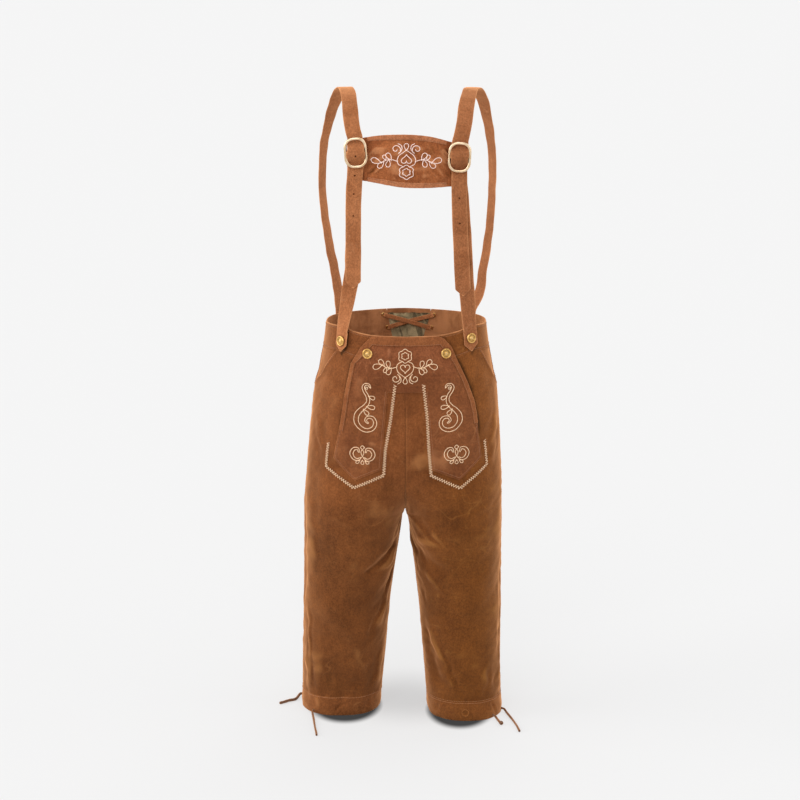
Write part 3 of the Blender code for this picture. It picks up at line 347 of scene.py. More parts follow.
# Smaller creases, which the solids do not have
CREASES = tuple(Fold(*row) for row in (
    # drag lines from the fork down both thighs
    (1, 0.97, 0.415, 0.74, 0.318, 0.007, 0.0022), (1, 0.91, 0.432, 0.64, 0.355, 0.0045, 0.0017),
    (1, 0.76, 0.436, 0.55, 0.35, 0.0045, 0.0014), (1, 0.78, 0.198, 0.65, 0.082, 0.009, 0.0013),
    (-1, 0.86, 0.342, 0.6, 0.292, 0.0075, -0.003), (-1, 0.96, 0.33, 0.81, 0.23, 0.0065, -0.0026),
    (1, 0.93, 0.4, 0.7, 0.3, 0.005, -0.0018), (1, 0.95, 0.372, 0.8, 0.262, 0.006, 0.002),
    (1, 0.88, 0.33, 0.78, 0.235, 0.006, -0.0016), (1, 0.8, 0.36, 0.52, 0.345, 0.008, 0.0014),
    (1, 0.74, 0.3, 0.58, 0.245, 0.0045, 0.0013), (-1, 0.97, 0.405, 0.8, 0.352, 0.006, -0.0018),
    (-1, 0.93, 0.335, 0.72, 0.3, 0.006, 0.0016), (-1, 0.86, 0.268, 0.76, 0.17, 0.008, 0.002),
    (-1, 0.8, 0.24, 0.66, 0.15, 0.0055, -0.0014),
    # the middle front, where the seam is pulled
    (1, 0.95, 0.56, 0.8, 0.45, 0.006, 0.0004), (-1, 0.94, 0.55, 0.78, 0.455, 0.007, 0.0012),
    (1, 0.9, 0.47, 0.72, 0.44, 0.006, -0.0012), (-1, 0.9, 0.475, 0.7, 0.45, 0.006, -0.001),
    # long soft rolls down the thighs, and cross creases at the sides
    (-1, 0.18, 0.48, 0.24, 0.3, 0.012, 0.0013), (-1, 0.1, 0.43, 0.13, 0.2, 0.009, -0.0018),
    (-1, 0.19, 0.225, 0.24, 0.07, 0.0042, 0.0018), (1, 0.14, 0.47, 0.2, 0.33, 0.011, 0.0012),
    (1, 0.09, 0.3, 0.12, 0.11, 0.009, -0.0018), (-1, 0.34, 0.42, 0.52, 0.39, 0.007, 0.001),
    (1, 0.3, 0.43, 0.56, 0.4, 0.007, 0.001), (-1, 0.2, 0.6, 0.34, 0.52, 0.008, 0.0012),
    (1, 0.16, 0.61, 0.3, 0.5, 0.008, 0.0014),
    # above the knee bands
    (-1, 0.16, 0.12, 0.22, 0.045, 0.01, 0.0026), (-1, 0.4, 0.095, 0.36, 0.042, 0.007, -0.0014),
    (-1, 0.84, 0.13, 0.8, 0.046, 0.009, 0.002), (-1, 0.55, 0.17, 0.7, 0.06, 0.008, 0.0012),
    (1, 0.74, 0.17, 0.58, 0.062, 0.008, 0.0013), (1, 0.62, 0.13, 0.52, 0.05, 0.006, -0.0014),
    (1, 0.3, 0.11, 0.38, 0.044, 0.007, 0.0014), (1, 0.1, 0.15, 0.14, 0.046, 0.01, 0.0022),
    # on the knee bands
    (-1, 0.58, 0.038, 0.46, 0.004, 0.0032, -0.0024), (-1, 0.3, 0.034, 0.33, 0.006, 0.005, 0.001),
    (-1, 0.72, 0.034, 0.7, 0.004, 0.006, -0.001), (1, 0.26, 0.036, 0.22, 0.004, 0.005, -0.0011),
    (1, 0.7, 0.034, 0.76, 0.004, 0.005, 0.0012),
    # the same on the back
    (-1, -0.97, 0.415, -0.66, 0.352, 0.007, 0.0018), (1, -0.97, 0.41, -0.68, 0.35, 0.007, 0.0018),
    (-1, -0.84, 0.296, -0.36, 0.228, 0.0065, 0.0014), (1, -0.86, 0.29, -0.38, 0.236, 0.0065, 0.0014),
    (-1, -0.76, 0.25, -0.3, 0.205, 0.007, -0.0022), (1, -0.74, 0.24, -0.28, 0.212, 0.007, -0.0022),
    (-1, -0.96, 0.47, -0.6, 0.438, 0.012, -0.0022), (1, -0.96, 0.465, -0.62, 0.44, 0.012, -0.0022),
    (-1, -0.9, 0.56, -0.6, 0.5, 0.011, 0.0016), (1, -0.9, 0.555, -0.58, 0.505, 0.011, 0.0016),
    (-1, -0.55, 0.13, -0.6, 0.044, 0.007, 0.0013), (1, -0.5, 0.14, -0.56, 0.044, 0.007, 0.0013),
    (-1, -0.8, 0.1, -0.76, 0.044, 0.007, -0.0016), (1, -0.8, 0.11, -0.74, 0.044, 0.007, -0.0016),
))
print("large folds:", len(FOLDS), "small creases:", len(CREASES))


# %% How the creases shape the leather
def waves(u, v, seed, longest, shortest, count):
    """Smooth unevenness between about -1 and 1: waves in seeded directions and lengths."""
    draw = np.random.default_rng(seed)
    total = np.zeros(np.shape(u))
    for _ in range(count):
        turn = draw.uniform(0, math.pi)
        reach = math.exp(draw.uniform(math.log(shortest), math.log(longest)))
        phase = draw.uniform(0, 2 * math.pi)
        along = u * math.cos(turn) + v * math.sin(turn)
        total += np.sin(2 * math.pi * along / reach + phase)
    return total / math.sqrt(count)


def waves_by_side(side, u, v, seed, longest, shortest, count=9):
    """The same, with waves of their own on the right and on the left."""
    right = waves(u, v, seed - 1, longest, shortest, count)
    left = waves(u, v, seed + 1, longest, shortest, count)
    return np.where(side < 0, right, left)


# %% How a fold lifts the leather
def fold_rise(side, girth, height, folds, unevenness):
    """How far the folds lift the leather. A trough throws up a low ridge beside it."""
    u, v = girth * GIRTH_SCALE, height
    if unevenness:
        u, v = (
            u + unevenness * waves_by_side(side, height, girth * 0.3, 5, 0.10, 0.03),
            v + unevenness * waves_by_side(side, u, height, 9, 0.10, 0.03),
        )
    total = np.zeros(np.shape(girth))
    for index, fold in enumerate(folds):
        start = np.array((fold.girth1 * GIRTH_SCALE, fold.height1))
        run = np.array((fold.girth2 * GIRTH_SCALE, fold.height2)) - start
        t = ((u - start[0]) * run[0] + (v - start[1]) * run[1]) / (run @ run)
        held = np.clip(t, 0, 1)
        away = np.hypot(u - start[0] - held * run[0], v - start[1] - held * run[1])
        fade = 1 - smooth_step(np.abs(held - 0.5), 0.3, 0.5)
        profile = bell(away, fold.width)
        if unevenness:
            profile = profile - 0.35 * bell(away - 1.7 * fold.width, 0.8 * fold.width)
            profile *= 1 + 0.35 * waves(u, v, 30 + index, 0.06, 0.02, 4)
        here = (side == fold.side) & ((girth < 0) == (fold.girth1 < 0))
        total += np.where(here, fold.rise * (0.25 + 0.75 * fade) * profile, 0)
    keep_seams = 1 - smooth_step(np.abs(girth), 0.90, 0.985)
    keep_side = smooth_step(np.abs(girth), 0.0, 0.08)
    return total * keep_seams * keep_side


# %% The outer face
def true_height(girth, level):
    """A level of the flat pattern as a height: the top rows follow the waist edge."""
    share = smooth_step(level, 0.56, BAND_SEAM)
    return level + (blend(WAIST_EDGE, "height", girth) - WAIST) * share


CRINKLE = 0.00034
SWELL = 0.0011


def small_relief(side, girth, height):
    """The small creases and the faint unevenness of all suede."""
    u = girth * GIRTH_SCALE
    calm = 1 - 0.75 * smooth_step(height, 0.66, 0.73)
    crinkle = CRINKLE * waves_by_side(side, u, height, 70, 0.055, 0.014, 12)
    swell = SWELL * waves_by_side(side, u, height, 80, 0.20, 0.07, 6)
    swell = swell * smooth_step(np.abs(girth), 0.0, 0.12)
    edge = 1 - smooth_step(np.abs(girth), 0.955, 1.0)
    return (fold_rise(side, girth, height, CREASES, 0.0035) + (crinkle + swell) * edge) * calm


TUCK = 0.003
TUCK_GIRTH = 0.30
TUCK_LEVELS = (0.646, 0.674)


def hip_tuck(girth, level):
    """The hips are drawn in a little above the pocket mouths, nearest the side seams."""
    return TUCK * smooth_step(level, *TUCK_LEVELS) * bell(girth, TUCK_GIRTH)


def leather(side, girth, level, out=0.0, gap=SEAM / 2):
    """Points that stand out from the panels' outer face, and the small relief there."""
    side, girth, level, out = np.broadcast_arrays(side, girth, level, np.asarray(out, float))
    side, girth, level, out = (np.atleast_1d(a) for a in (side, girth, level, out))
    height = true_height(girth, level)
    relief = small_relief(side, girth, height)
    out = out + fold_rise(side, girth, height, FOLDS, 0.0) + relief - hip_tuck(girth, level)
    points = np.empty((len(girth), 3))
    for leg in (-1, 1):
        for back in (False, True):
            pick = (side == leg) & ((girth < 0) == back)
            if not pick.any():
                continue
            x, y, normal_x, normal_y = read_atlas(leg, back, height[pick], np.abs(girth[pick])).T
            shift = HEM_BACK[leg] * (1 - smooth_step(height[pick], 0.0, CROTCH))
            points[pick, 0] = leg * (x + out[pick] * normal_x + gap)
            points[pick, 1] = y + out[pick] * normal_y + shift
            points[pick, 2] = height[pick] - SHOULDER
    return points, relief


# %% Places for each kind of piece
def front(across, level, out):
    """The front as one sheet: across is -1 and 1 at the side seams, 0 in the middle."""
    across = np.atleast_1d(np.asarray(across, float))
    side = np.where(across >= 0, 1, -1)
    return leather(side, np.maximum(1 - np.abs(across), 1e-6), level, out, 0.0)


def back(across, level, out):
    across = np.atleast_1d(np.asarray(across, float))
    side = np.where(across >= 0, 1, -1)
    return leather(side, np.minimum(np.abs(across) - 1, -1e-6), level, out, 0.0)


def round_leg(side):
    """All round one leg: 0 and 2 are the side seam's front and back, 1 is the inseam."""

    def place(around, level, out):
        around = np.asarray(around, float)
        return leather(side, np.where(around <= 1, around, around - 2), level, out, 0.0)

    return place


SEAM_OVERLAP = 0.0002


def one_half(side, facing):
    """One front or back half: 0 is the side seam, 1 the middle seam or inseam."""

    def place(across, level, out):
        return leather(side, facing * np.maximum(across, 1e-6), level, out, -SEAM_OVERLAP)

    return place


def across_at(x, level):
    """Where the front sheet reaches a distance from the middle, at a level."""
    side = 1 if x >= 0 else -1
    tries = np.linspace(0, 1, 400)
    height = true_height(1 - tries, np.full(400, float(level)))
    found = read_atlas(side, False, height, 1 - tries)[:, 0]
    return side * float(np.interp(abs(x), found, tries))


waist_width = leather(1, 0.0, WAIST)[0][0, 0] - leather(-1, 0.0, WAIST)[0][0, 0]
print("waist width:", round(float(waist_width), 4), "m")

# %% [markdown]
# ## Suede
#
# Suede is the fluffy side of the skin. Its tiny fibres catch light at a low angle, so its
# outline is brighter than its middle: that is what sheen is for. Its tone is clouded where
# it was brushed one way or the other, and it has paler lines where it was bent. A shader
# group gives these masks from the place in the object, and each material mixes its own
# colours with them. Two attributes come from the mesh: how near a cut edge is, where the
# pale middle of the skin shows, and how high a crease stands, where the nap is rubbed. The
# second also carries painted shade: where it is low, in hollows and where shadows are
# written into it, the suede is painted darker.


# %% Shader helpers
def add_node(tree, kind, values=(), **settings):
    """A node with its settings, and its inputs set to values or linked to sockets."""
    made = tree.nodes.new(kind)
    for name, value in settings.items():
        setattr(made, name, value)
    for name, value in dict(values).items():
        if isinstance(value, bpy.types.NodeSocket):
            tree.links.new(value, made.inputs[name])
        else:
            made.inputs[name].default_value = value
    return made


def new_group(name, inputs, outputs):
    """An empty shader group with named number inputs and outputs."""
    tree = bpy.data.node_groups.new(name, "ShaderNodeTree")
    for label, value in inputs:
        socket = tree.interface.new_socket(label, in_out="INPUT", socket_type="NodeSocketFloat")
        socket.default_value = value
    for label in outputs:
        tree.interface.new_socket(label, in_out="OUTPUT", socket_type="NodeSocketFloat")
    return tree, tree.nodes.new("NodeGroupInput").outputs, tree.nodes.new("NodeGroupOutput").inputs


def ramp(tree, value, low, high, start=0.0, end=1.0):
    """A number squeezed smoothly from the range low to high into start to end."""
    made = add_node(
        tree,
        "ShaderNodeMapRange",
        {"Value": value, "From Min": low, "From Max": high, "To Min": start, "To Max": end},
        interpolation_type="SMOOTHSTEP",
    )
    return made.outputs["Result"]


def calculate(tree, operation, first, second=0.0):
    return add_node(tree, "ShaderNodeMath", {0: first, 1: second}, operation=operation).outputs[0]


def weigh(tree, *parts):
    """The sum of some values, each times its weight."""
    total = calculate(tree, "MULTIPLY", *parts[0])
    for part in parts[1:]:
        total = calculate(tree, "ADD", total, calculate(tree, "MULTIPLY", *part))
    return total


def noise(tree, place, scale, detail, distortion, roughness=0.5):
    values = {"Vector": place, "Scale": scale, "Detail": detail}
    values.update({"Distortion": distortion, "Roughness": roughness})
    return add_node(tree, "ShaderNodeTexNoise", values).outputs["Fac"]


def mix_colour(tree, factor, first, second, blend_type="MIX"):
    values = {0: factor, 6: first, 7: second}
    made = add_node(tree, "ShaderNodeMix", values, data_type="RGBA", blend_type=blend_type)
    return made.outputs[2]


def object_place(tree):
    return tree.nodes.new("ShaderNodeTexCoord").outputs["Object"]


def mesh_mask(tree, name):
    """A number that the mesh carries on its points."""
    return add_node(tree, "ShaderNodeAttribute", attribute_name=name).outputs["Fac"]


def as_colour(tree, red, green, blue):
    return add_node(tree, "ShaderNodeCombineColor", {0: red, 1: green, 2: blue}).outputs[0]


def add_bump(tree, shader, height, strength, distance):
    values = {"Strength": strength, "Distance": distance, "Height": height}
    tree.links.new(add_node(tree, "ShaderNodeBump", values).outputs[0], shader.inputs["Normal"])


# %% Suede group
# How fine each kind of mark is, as the scale of its noise
MOTTLE_SCALE = 62.0
STREAK_SCALE = 95.0
COARSE_NAP_SCALE = 360.0
BEND_SCALE = 15.0
CRACKLE_SCALE = 36.0
SCUFF_SCALE = 44.0


def thin_lines(tree, cloud, half_width, strength):
    """Lines where a noise passes through its middle value."""
    away = calculate(tree, "ABSOLUTE", calculate(tree, "SUBTRACT", cloud, 0.5))
    return ramp(tree, away, 0.0, half_width, strength, 0.0)


def stretched(tree, place, upright):
    """A place for marks that are longer upright than across."""
    values = {"Vector": place, "Scale": (1.0, 1.0, upright)}
    return add_node(tree, "ShaderNodeMapping", values).outputs[0]


def make_suede_group():
    """Masks of brushed suede: its clouds, its fine nap, and its bent and rubbed lines."""
    tree, given, gives = new_group(
        "brushed_suede",
        (("Cloud Scale", 14.0), ("Nap Scale", 900.0), ("Lines", 0.5)),
        ("Clouds", "Nap", "Rubbed", "Height"),
    )
    place = object_place(tree)
    broad = noise(tree, place, given["Cloud Scale"], 4.0, 0.4, 0.55)
    middle = noise(tree, place, MOTTLE_SCALE, 4.0, 0.6, 0.6)
    streaks = noise(tree, stretched(tree, place, 0.16), STREAK_SCALE, 4.0, 0.3, 0.6)
    clouds = weigh(tree, (broad, 0.54), (middle, 0.24), (streaks, 0.22))
    tree.links.new(ramp(tree, clouds, 0.30, 0.70), gives["Clouds"])

    brushed = stretched(tree, place, 0.8)
    fine = noise(tree, brushed, given["Nap Scale"], 3.0, 0.0, 0.7)
    coarse = noise(tree, brushed, COARSE_NAP_SCALE, 3.0, 0.3, 0.6)
    nap = weigh(tree, (fine, 0.4), (coarse, 0.6))
    tree.links.new(ramp(tree, nap, 0.34, 0.66), gives["Nap"])

    # lines where the skin was bent, finer crackle, and scuffs, each only in places
    line = thin_lines(tree, noise(tree, place, BEND_SCALE, 1.0, 0.7, 0.5), 0.020, 1.0)
    where = ramp(tree, noise(tree, place, 11.0, 3.0, 0.3), 0.52, 0.66)
    line = calculate(tree, "MULTIPLY", line, where)
    crackle = thin_lines(tree, noise(tree, place, CRACKLE_SCALE, 2.0, 0.9, 0.5), 0.016, 0.55)
    where = ramp(tree, noise(tree, place, 17.0, 2.0, 0.4), 0.50, 0.62)
    line = calculate(tree, "MAXIMUM", line, calculate(tree, "MULTIPLY", crackle, where))
    lines = calculate(tree, "MULTIPLY", line, given["Lines"])
    scuffs = ramp(tree, noise(tree, brushed, SCUFF_SCALE, 5.0, 1.4, 0.72), 0.54, 0.70)
    where = ramp(tree, noise(tree, place, 23.0, 2.0, 0.5), 0.55, 0.70)
    scuffs = calculate(tree, "MULTIPLY", scuffs, where)
    rubbed = calculate(tree, "MAXIMUM", lines, calculate(tree, "MULTIPLY", scuffs, 0.55))
    tree.links.new(rubbed, gives["Rubbed"])

    tree.links.new(weigh(tree, (nap, 0.45), (middle, 0.55)), gives["Height"])
    return tree


SUEDE_GROUP = make_suede_group()
print("suede group:", len(SUEDE_GROUP.nodes), "nodes")


# %% Suede materials
def srgb(red, green, blue):
    """A colour as it is seen, 0 to 255, as the number that light adds up with."""
    parts = [value / 255 for value in (red, green, blue)]
    return (*[p / 12.92 if p <= 0.04045 else ((p + 0.055) / 1.055) ** 2.4 for p in parts], 1.0)


def new_material(name, roughness, **settings):
    """A material, its tree and its shader, with plain values for the shader's inputs."""
    made = bpy.data.materials.new(name)
    made.use_nodes = True
    shader = made.node_tree.nodes["Principled BSDF"]
    shader.inputs["Roughness"].default_value = roughness
    for label, value in settings.items():
        shader.inputs[label.replace("_", " ")].default_value = value
    return made, made.node_tree, shader


PALE_EDGE = srgb(206, 144, 98)
SHEEN_TINT = srgb(248, 178, 122)
# Between which heights the low shade and the high shade come in
LOW_SHADE_HEIGHTS = (0.30 - SHOULDER, 0.66 - SHOULDER)
HIGH_SHADE_HEIGHTS = (0.655 - SHOULDER, 0.740 - SHOULDER)


def suede(name, dark, light, rubbed, low_shade, cloud_scale=14.0, lines=0.5, edge=0.8,
          high_shade=1.0, left_blue=1.0):
    """A suede of its own colours. low_shade darkens it towards the hem, high_shade brightens
    it towards the waist, and left_blue makes the left side more golden."""
    made, tree, shader = new_material(
        name, 0.9, Specular_IOR_Level=0.12, Sheen_Weight=1.0, Sheen_Roughness=0.42,
        Sheen_Tint=SHEEN_TINT,
    )
    group = tree.nodes.new("ShaderNodeGroup")
    group.node_tree = SUEDE_GROUP
    group.inputs["Cloud Scale"].default_value = cloud_scale
    group.inputs["Lines"].default_value = lines
    masks = group.outputs
    colour = mix_colour(tree, masks["Clouds"], dark, light)
    grain = ramp(tree, masks["Nap"], 0.0, 1.0, 0.76, 1.19)
    colour = mix_colour(tree, 1.0, colour, as_colour(tree, grain, grain, grain), "MULTIPLY")
    ridge = mesh_mask(tree, "ridge")
    worn = ramp(tree, ridge, 0.0006, 0.0030, 0.0, 0.38)
    worn = calculate(tree, "MAXIMUM", worn, calculate(tree, "MULTIPLY", masks["Rubbed"], 0.6))
    colour = mix_colour(tree, worn, colour, rubbed)
    # painted shade: where the relief mask lies low, in the hollows of creases and where a contact
    # shadow is written into it, the suede is painted darker
    painted_hollow_shade = ramp(tree, ridge, -0.0005, -0.0070, 1.0, 0.28)
    spot = add_node(tree, "ShaderNodeSeparateXYZ", {0: object_place(tree)}).outputs
    shade = ramp(tree, spot["Z"], *LOW_SHADE_HEIGHTS, low_shade, 1.0)
    high = ramp(tree, spot["Z"], *HIGH_SHADE_HEIGHTS, 1.0, high_shade)
    shade = calculate(tree, "MULTIPLY", calculate(tree, "MULTIPLY", shade, painted_hollow_shade), high)
    # the low parts are redder as well as darker
    golden = ramp(tree, spot["X"], 0.0, 0.12, 1.0, left_blue)
    blue = calculate(tree, "MULTIPLY", calculate(tree, "POWER", shade, 1.5), golden)
    colour = mix_colour(tree, 1.0, colour, as_colour(tree, shade, shade, blue), "MULTIPLY")
    uneven = ramp(tree, masks["Clouds"], 0.0, 1.0, 0.45 * edge, 1.35 * edge)
    rim = calculate(tree, "MULTIPLY", mesh_mask(tree, "edge"), uneven)
    colour = mix_colour(tree, calculate(tree, "MINIMUM", rim, 1.0), colour, PALE_EDGE)
    tree.links.new(colour, shader.inputs["Base Color"])
    add_bump(tree, shader, masks["Height"], 0.55, 0.0009)
    return made


TROUSER_SUEDE = suede(
    "trouser suede", srgb(98, 53, 24), srgb(130, 75, 39), srgb(190, 128, 80), 0.70, 14.0, 0.28,
    left_blue=0.72,
)
CUFF_SUEDE = suede(
    "knee band suede", srgb(110, 61, 31), srgb(136, 80, 44), srgb(190, 128, 82), 0.78, 22.0,
    left_blue=0.80,
)
FLAP_SUEDE = suede(
    "drop front suede", srgb(98, 53, 28), srgb(128, 75, 43), srgb(188, 126, 84), 0.80,
    high_shade=1.26,
)
BRACE_SUEDE = suede(
    "brace suede", srgb(142, 85, 50), srgb(168, 107, 68), srgb(200, 145, 105), 1.0, 20.0, 0.35
)
LEFT_BRACE_SUEDE = suede(
    "left brace suede", srgb(130, 77, 45), srgb(156, 98, 62), srgb(196, 142, 102), 1.0, 20.0, 0.35
)
CHEST_SUEDE = suede(
    "chest piece suede", srgb(118, 62, 32), srgb(160, 94, 54), srgb(204, 142, 98), 1.0, 26.0
)
BORDER_SUEDE = suede(
    "border suede", srgb(150, 90, 58), srgb(174, 112, 76), srgb(200, 145, 108), 1.0, 22.0, 0.3
)
LACE_SUEDE = suede(
    "lace suede", srgb(84, 59, 45), srgb(120, 88, 68), srgb(156, 118, 94), 1.0, 30.0, 0.3, 0.4
)

# %% Floor paint
# Painted shadows on the floor: dark patches under the hems, and a faint one between the legs, as
# ellipses
FLOOR_GREY = 0.22
FLOOR_GLOW = 0.606
PaintedFloorShadow = namedtuple("PaintedFloorShadow", "x y wide deep dark soft")
PAINTED_FLOOR_SHADOWS = (
    PaintedFloorShadow(-0.116, 0.000, 0.068, 0.092, 0.93, 0.16),
    PaintedFloorShadow(0.105, -0.026, 0.062, 0.094, 0.93, 0.16),
    PaintedFloorShadow(0.000, 0.045, 0.080, 0.105, 0.17, 0.80),
)
floor_tree = floor_paint.node_tree
floor_spot = add_node(floor_tree, "ShaderNodeSeparateXYZ", {0: object_place(floor_tree)}).outputs
painted_shadow_mask = 0.0
for floor_shadow in PAINTED_FLOOR_SHADOWS:
    reach = 0.0
    for axis, middle, half in (("X", floor_shadow.x, floor_shadow.wide), ("Y", floor_shadow.y, floor_shadow.deep)):
        away = calculate(floor_tree, "SUBTRACT", floor_spot[axis], middle)
        away = calculate(floor_tree, "DIVIDE", away, half)
        reach = calculate(floor_tree, "ADD", calculate(floor_tree, "MULTIPLY", away, away), reach)
    reach = calculate(floor_tree, "SQRT", reach)
    dark = ramp(floor_tree, reach, 1 - floor_shadow.soft, 1 + floor_shadow.soft, floor_shadow.dark, 0.0)
    painted_shadow_mask = calculate(floor_tree, "MAXIMUM", dark, painted_shadow_mask)
# the painted shadows darken the floor's colour and its glow alike
for socket, grey in (("Base Color", FLOOR_GREY), ("Emission Color", FLOOR_GLOW)):
    colour = mix_colour(floor_tree, painted_shadow_mask, (grey, grey, grey, 1), (0, 0, 0, 1))
    floor_tree.links.new(colour, floor_shader.inputs[socket])
floor_shader.inputs["Emission Strength"].default_value = 1.0
print("floor patches:", len(PAINTED_FLOOR_SHADOWS))

# %% [markdown]
# ## Cutting the leather
#
# A piece of leather is a flat outline with some thickness. Its outline is filled with evenly
# spaced points and, along the border, with rows of points that follow it, so that the edge
# can be rounded and the seam can sink in. Blender's Delaunay function joins all the points
# with triangles. Then each point is laid on the surface twice, for the face and the flesh
# side, and a rim closes the wall. A grid with its corners cut off would leave steps along
# the slanted edges.

# %% Cutting tools
BORDER_ROWS = (0.0006, 0.0014, 0.0026, 0.0042)
# The flesh side is pale, and it is painted paler still, as light that makes up for the shade it lies
# in
FLESH_PALENESS_AND_LIGHT = 0.62
PALE_BORDER = 0.0007
# A full painted contact shadow darkens the leather as much as a crease of this depth does
SHADE_DEPTH = 0.0072


def along_outline(outline, spacing):
    """Points along a closed outline, with its corners, and their directions inward."""
    corners = np.array(outline, float)
    area = 0.5 * np.sum(
        corners[:, 0] * np.roll(corners[:, 1], -1) - np.roll(corners[:, 0], -1) * corners[:, 1]
    )
    if area < 0:
        corners = corners[::-1]
    points, inward = [], []
    before = np.roll(corners, 1, axis=0)
    after = np.roll(corners, -1, axis=0)
    for here, last, following in zip(corners, before, after):
        run_in = (here - last) / np.linalg.norm(here - last)
        run_out = (following - here) / np.linalg.norm(following - here)
        normal_in = np.array((-run_in[1], run_in[0]))
        normal_out = np.array((-run_out[1], run_out[0]))
        corner = normal_in + normal_out
        points.append(here)
        inward.append(corner / max(corner @ normal_out, 0.35))
        steps = max(int(round(np.linalg.norm(following - here) / spacing)), 1)
        for share in np.arange(1, steps) / steps:
            points.append(here + (following - here) * share)
            inward.append(normal_out)
    return corners, np.array(points), np.array(inward)


def outline_distance(points, corners, closed=True):
    """How far each flat point is from an outline."""
    nearest = np.full(len(points), 1e9)
    ends = np.roll(corners, -1, axis=0) if closed else corners[1:]
    for a, b in zip(corners, ends):
        run = b - a
        t = np.clip(((points - a) @ run) / (run @ run), 0, 1)
        nearest = np.minimum(nearest, np.linalg.norm(points - a - t[:, None] * run, axis=1))
    return nearest


def inside(points, corners):
    crossings = np.zeros(len(points), int)
    for (x1, y1), (x2, y2) in zip(corners, np.roll(corners, -1, axis=0)):
        spans = (y1 > points[:, 1]) != (y2 > points[:, 1])
        rise = (y2 - y1) if y2 != y1 else 1.0
        crossings += spans & (points[:, 0] < x1 + (points[:, 1] - y1) * (x2 - x1) / rise)
    return crossings % 2 == 1


def fill_outline(outline, spacing):
    """Flat points and triangles that fill an outline, its border loop first."""
    corners, border, inward = along_outline(outline, spacing)
    rows = []
    for depth in BORDER_ROWS:
        row = border + inward * depth
        row = row[inside(row, corners)]
        rows.append(row[outline_distance(row, corners) > depth * 0.8])
    low, high = border.min(0), border.max(0)
    ticks = [np.arange(low[axis], high[axis], spacing) for axis in (0, 1)]
    grid = np.stack(np.meshgrid(*ticks), axis=-1).reshape(-1, 2)
    grid[:, 0] += spacing / 2 * (np.round((grid[:, 1] - low[1]) / spacing) % 2)
    away = outline_distance(grid, corners)
    grid = grid[inside(grid, corners) & (away > BORDER_ROWS[-1] + spacing * 0.45)]
    every = np.vstack([border, *rows, grid])
    loop = list(range(len(border)))
    found = delaunay_2d_cdt([Vector(p) for p in every], [], [loop], 1, 1e-7)
    flat = np.array([tuple(p) for p in found[0]])
    triangles = np.array(found[2])
    edges = np.sort(triangles[:, [[0, 1], [1, 2], [2, 0]]].reshape(-1, 2), axis=1)
    unique, counts = np.unique(edges, axis=0, return_counts=True)
    return flat, triangles, unique[counts == 1], outline_distance(flat, corners)


# %% Edges and masks
def rounded(distance):
    """The edge of cut leather falls off over its last millimetre."""
    return -0.0005 * bell(distance, 0.0006)


def sewn_in(distance):
    """A seam sinks in, and the leather beside it swells."""
    return -0.0007 * bell(distance, 0.0009) + 0.0004 * bell(distance - 0.0032, 0.0018)


def add_piece(name, data):
    """An object at the origin, on the part's one body."""
    made = bpy.data.objects.new(name, data)
    scene.collection.objects.link(made)
    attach(made, "root")
    return made


def write_masks(mesh, **masks):
    for label, values in masks.items():
        layer = mesh.attributes.new(label, "FLOAT", "POINT")
        layer.data.foreach_set("value", values.astype(np.float32))


def finish_mesh(name, mesh, paint, sharp_from):
    """Paints and smooths a mesh, except where it bends sharply, and makes a piece of it."""
    mesh.materials.append(paint)
    mesh.shade_smooth()
    mesh.set_sharp_from_angle(angle=math.radians(sharp_from))
    return add_piece(name, mesh)


# %% Cut a piece
def cut_piece(name, paint, place, outline, spacing, inner, outer, edging=rounded, lift=None,
              scale=GIRTH_SCALE, paleness=0.15, pale_border=PALE_BORDER,
              shade=None):
    """A wall of leather from its outline in pattern places (across, level). paleness is how
    much its cut edge shows: a number, or a function of the place. shade is a function of
    the place too: painted shade, how much darker the leather is painted where another piece
    lies close over it, as its shadow."""
    flat_outline = [(across * scale, level) for across, level in outline]
    flat, triangles, rim, distance = fill_outline(flat_outline, spacing)
    across, level = flat[:, 0] / scale, flat[:, 1]
    more = edging(distance)
    if lift is not None:
        more = more + lift(across, level)
    face, relief = place(across, level, outer + more)
    flesh, _ = place(across, level, inner + np.maximum(more, 0) * 0.9)
    count = len(flat)
    sample = face[triangles[: len(triangles) // 2 + 1]]
    normals = np.cross(sample[:, 1] - sample[:, 0], sample[:, 2] - sample[:, 0])
    outward = (face - flesh)[triangles[: len(sample), 0]]
    if (normals * outward).sum() < 0:
        triangles = triangles[:, ::-1]
    sides = triangles[:, [[0, 1], [1, 2], [2, 0]]].reshape(-1, 2)
    directed = {tuple(pair) for pair in sides.tolist()}
    faces = [tuple(t) for t in triangles.tolist()]
    faces += [(x + count, z + count, y + count) for x, y, z in triangles.tolist()]
    for first, second in rim.tolist():
        if (first, second) not in directed:
            first, second = second, first
        faces.append((second, first, first + count, second + count))
    mesh = bpy.data.meshes.new(name)
    mesh.from_pydata(np.vstack([face, flesh]).tolist(), [], faces)
    # painted shade: it is taken off the relief mask, which the suede paints darker
    if shade is not None:
        relief = relief - SHADE_DEPTH * shade(across, level)
    pale = bell(distance, pale_border)
    pale = pale * (paleness(across, level) if callable(paleness) else paleness)
    both_sides = np.concatenate([pale, np.maximum(pale, FLESH_PALENESS_AND_LIGHT)])
    write_masks(mesh, edge=both_sides, ridge=np.concatenate([relief, relief]))
    pattern = np.vstack([flat, flat])
    corner_points = np.empty(len(mesh.loops), np.int32)
    mesh.loops.foreach_get("vertex_index", corner_points)
    chart = mesh.uv_layers.new(name="pattern")
    chart.data.foreach_set("uv", pattern[corner_points].astype(np.float32).ravel())
    return finish_mesh(name, mesh, paint, 60)


# %% What a piece stands for
def stands_for(piece, node, flat):
    """Hides the solid that a piece replaces, and prints the piece's name, its faces and the
    box on the hide that it was cut to."""
    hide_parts(node)
    print(f"{piece.name}: {len(piece.data.polygons)} faces, cut {flat[0]:.3f} x {flat[1]:.3f} m")

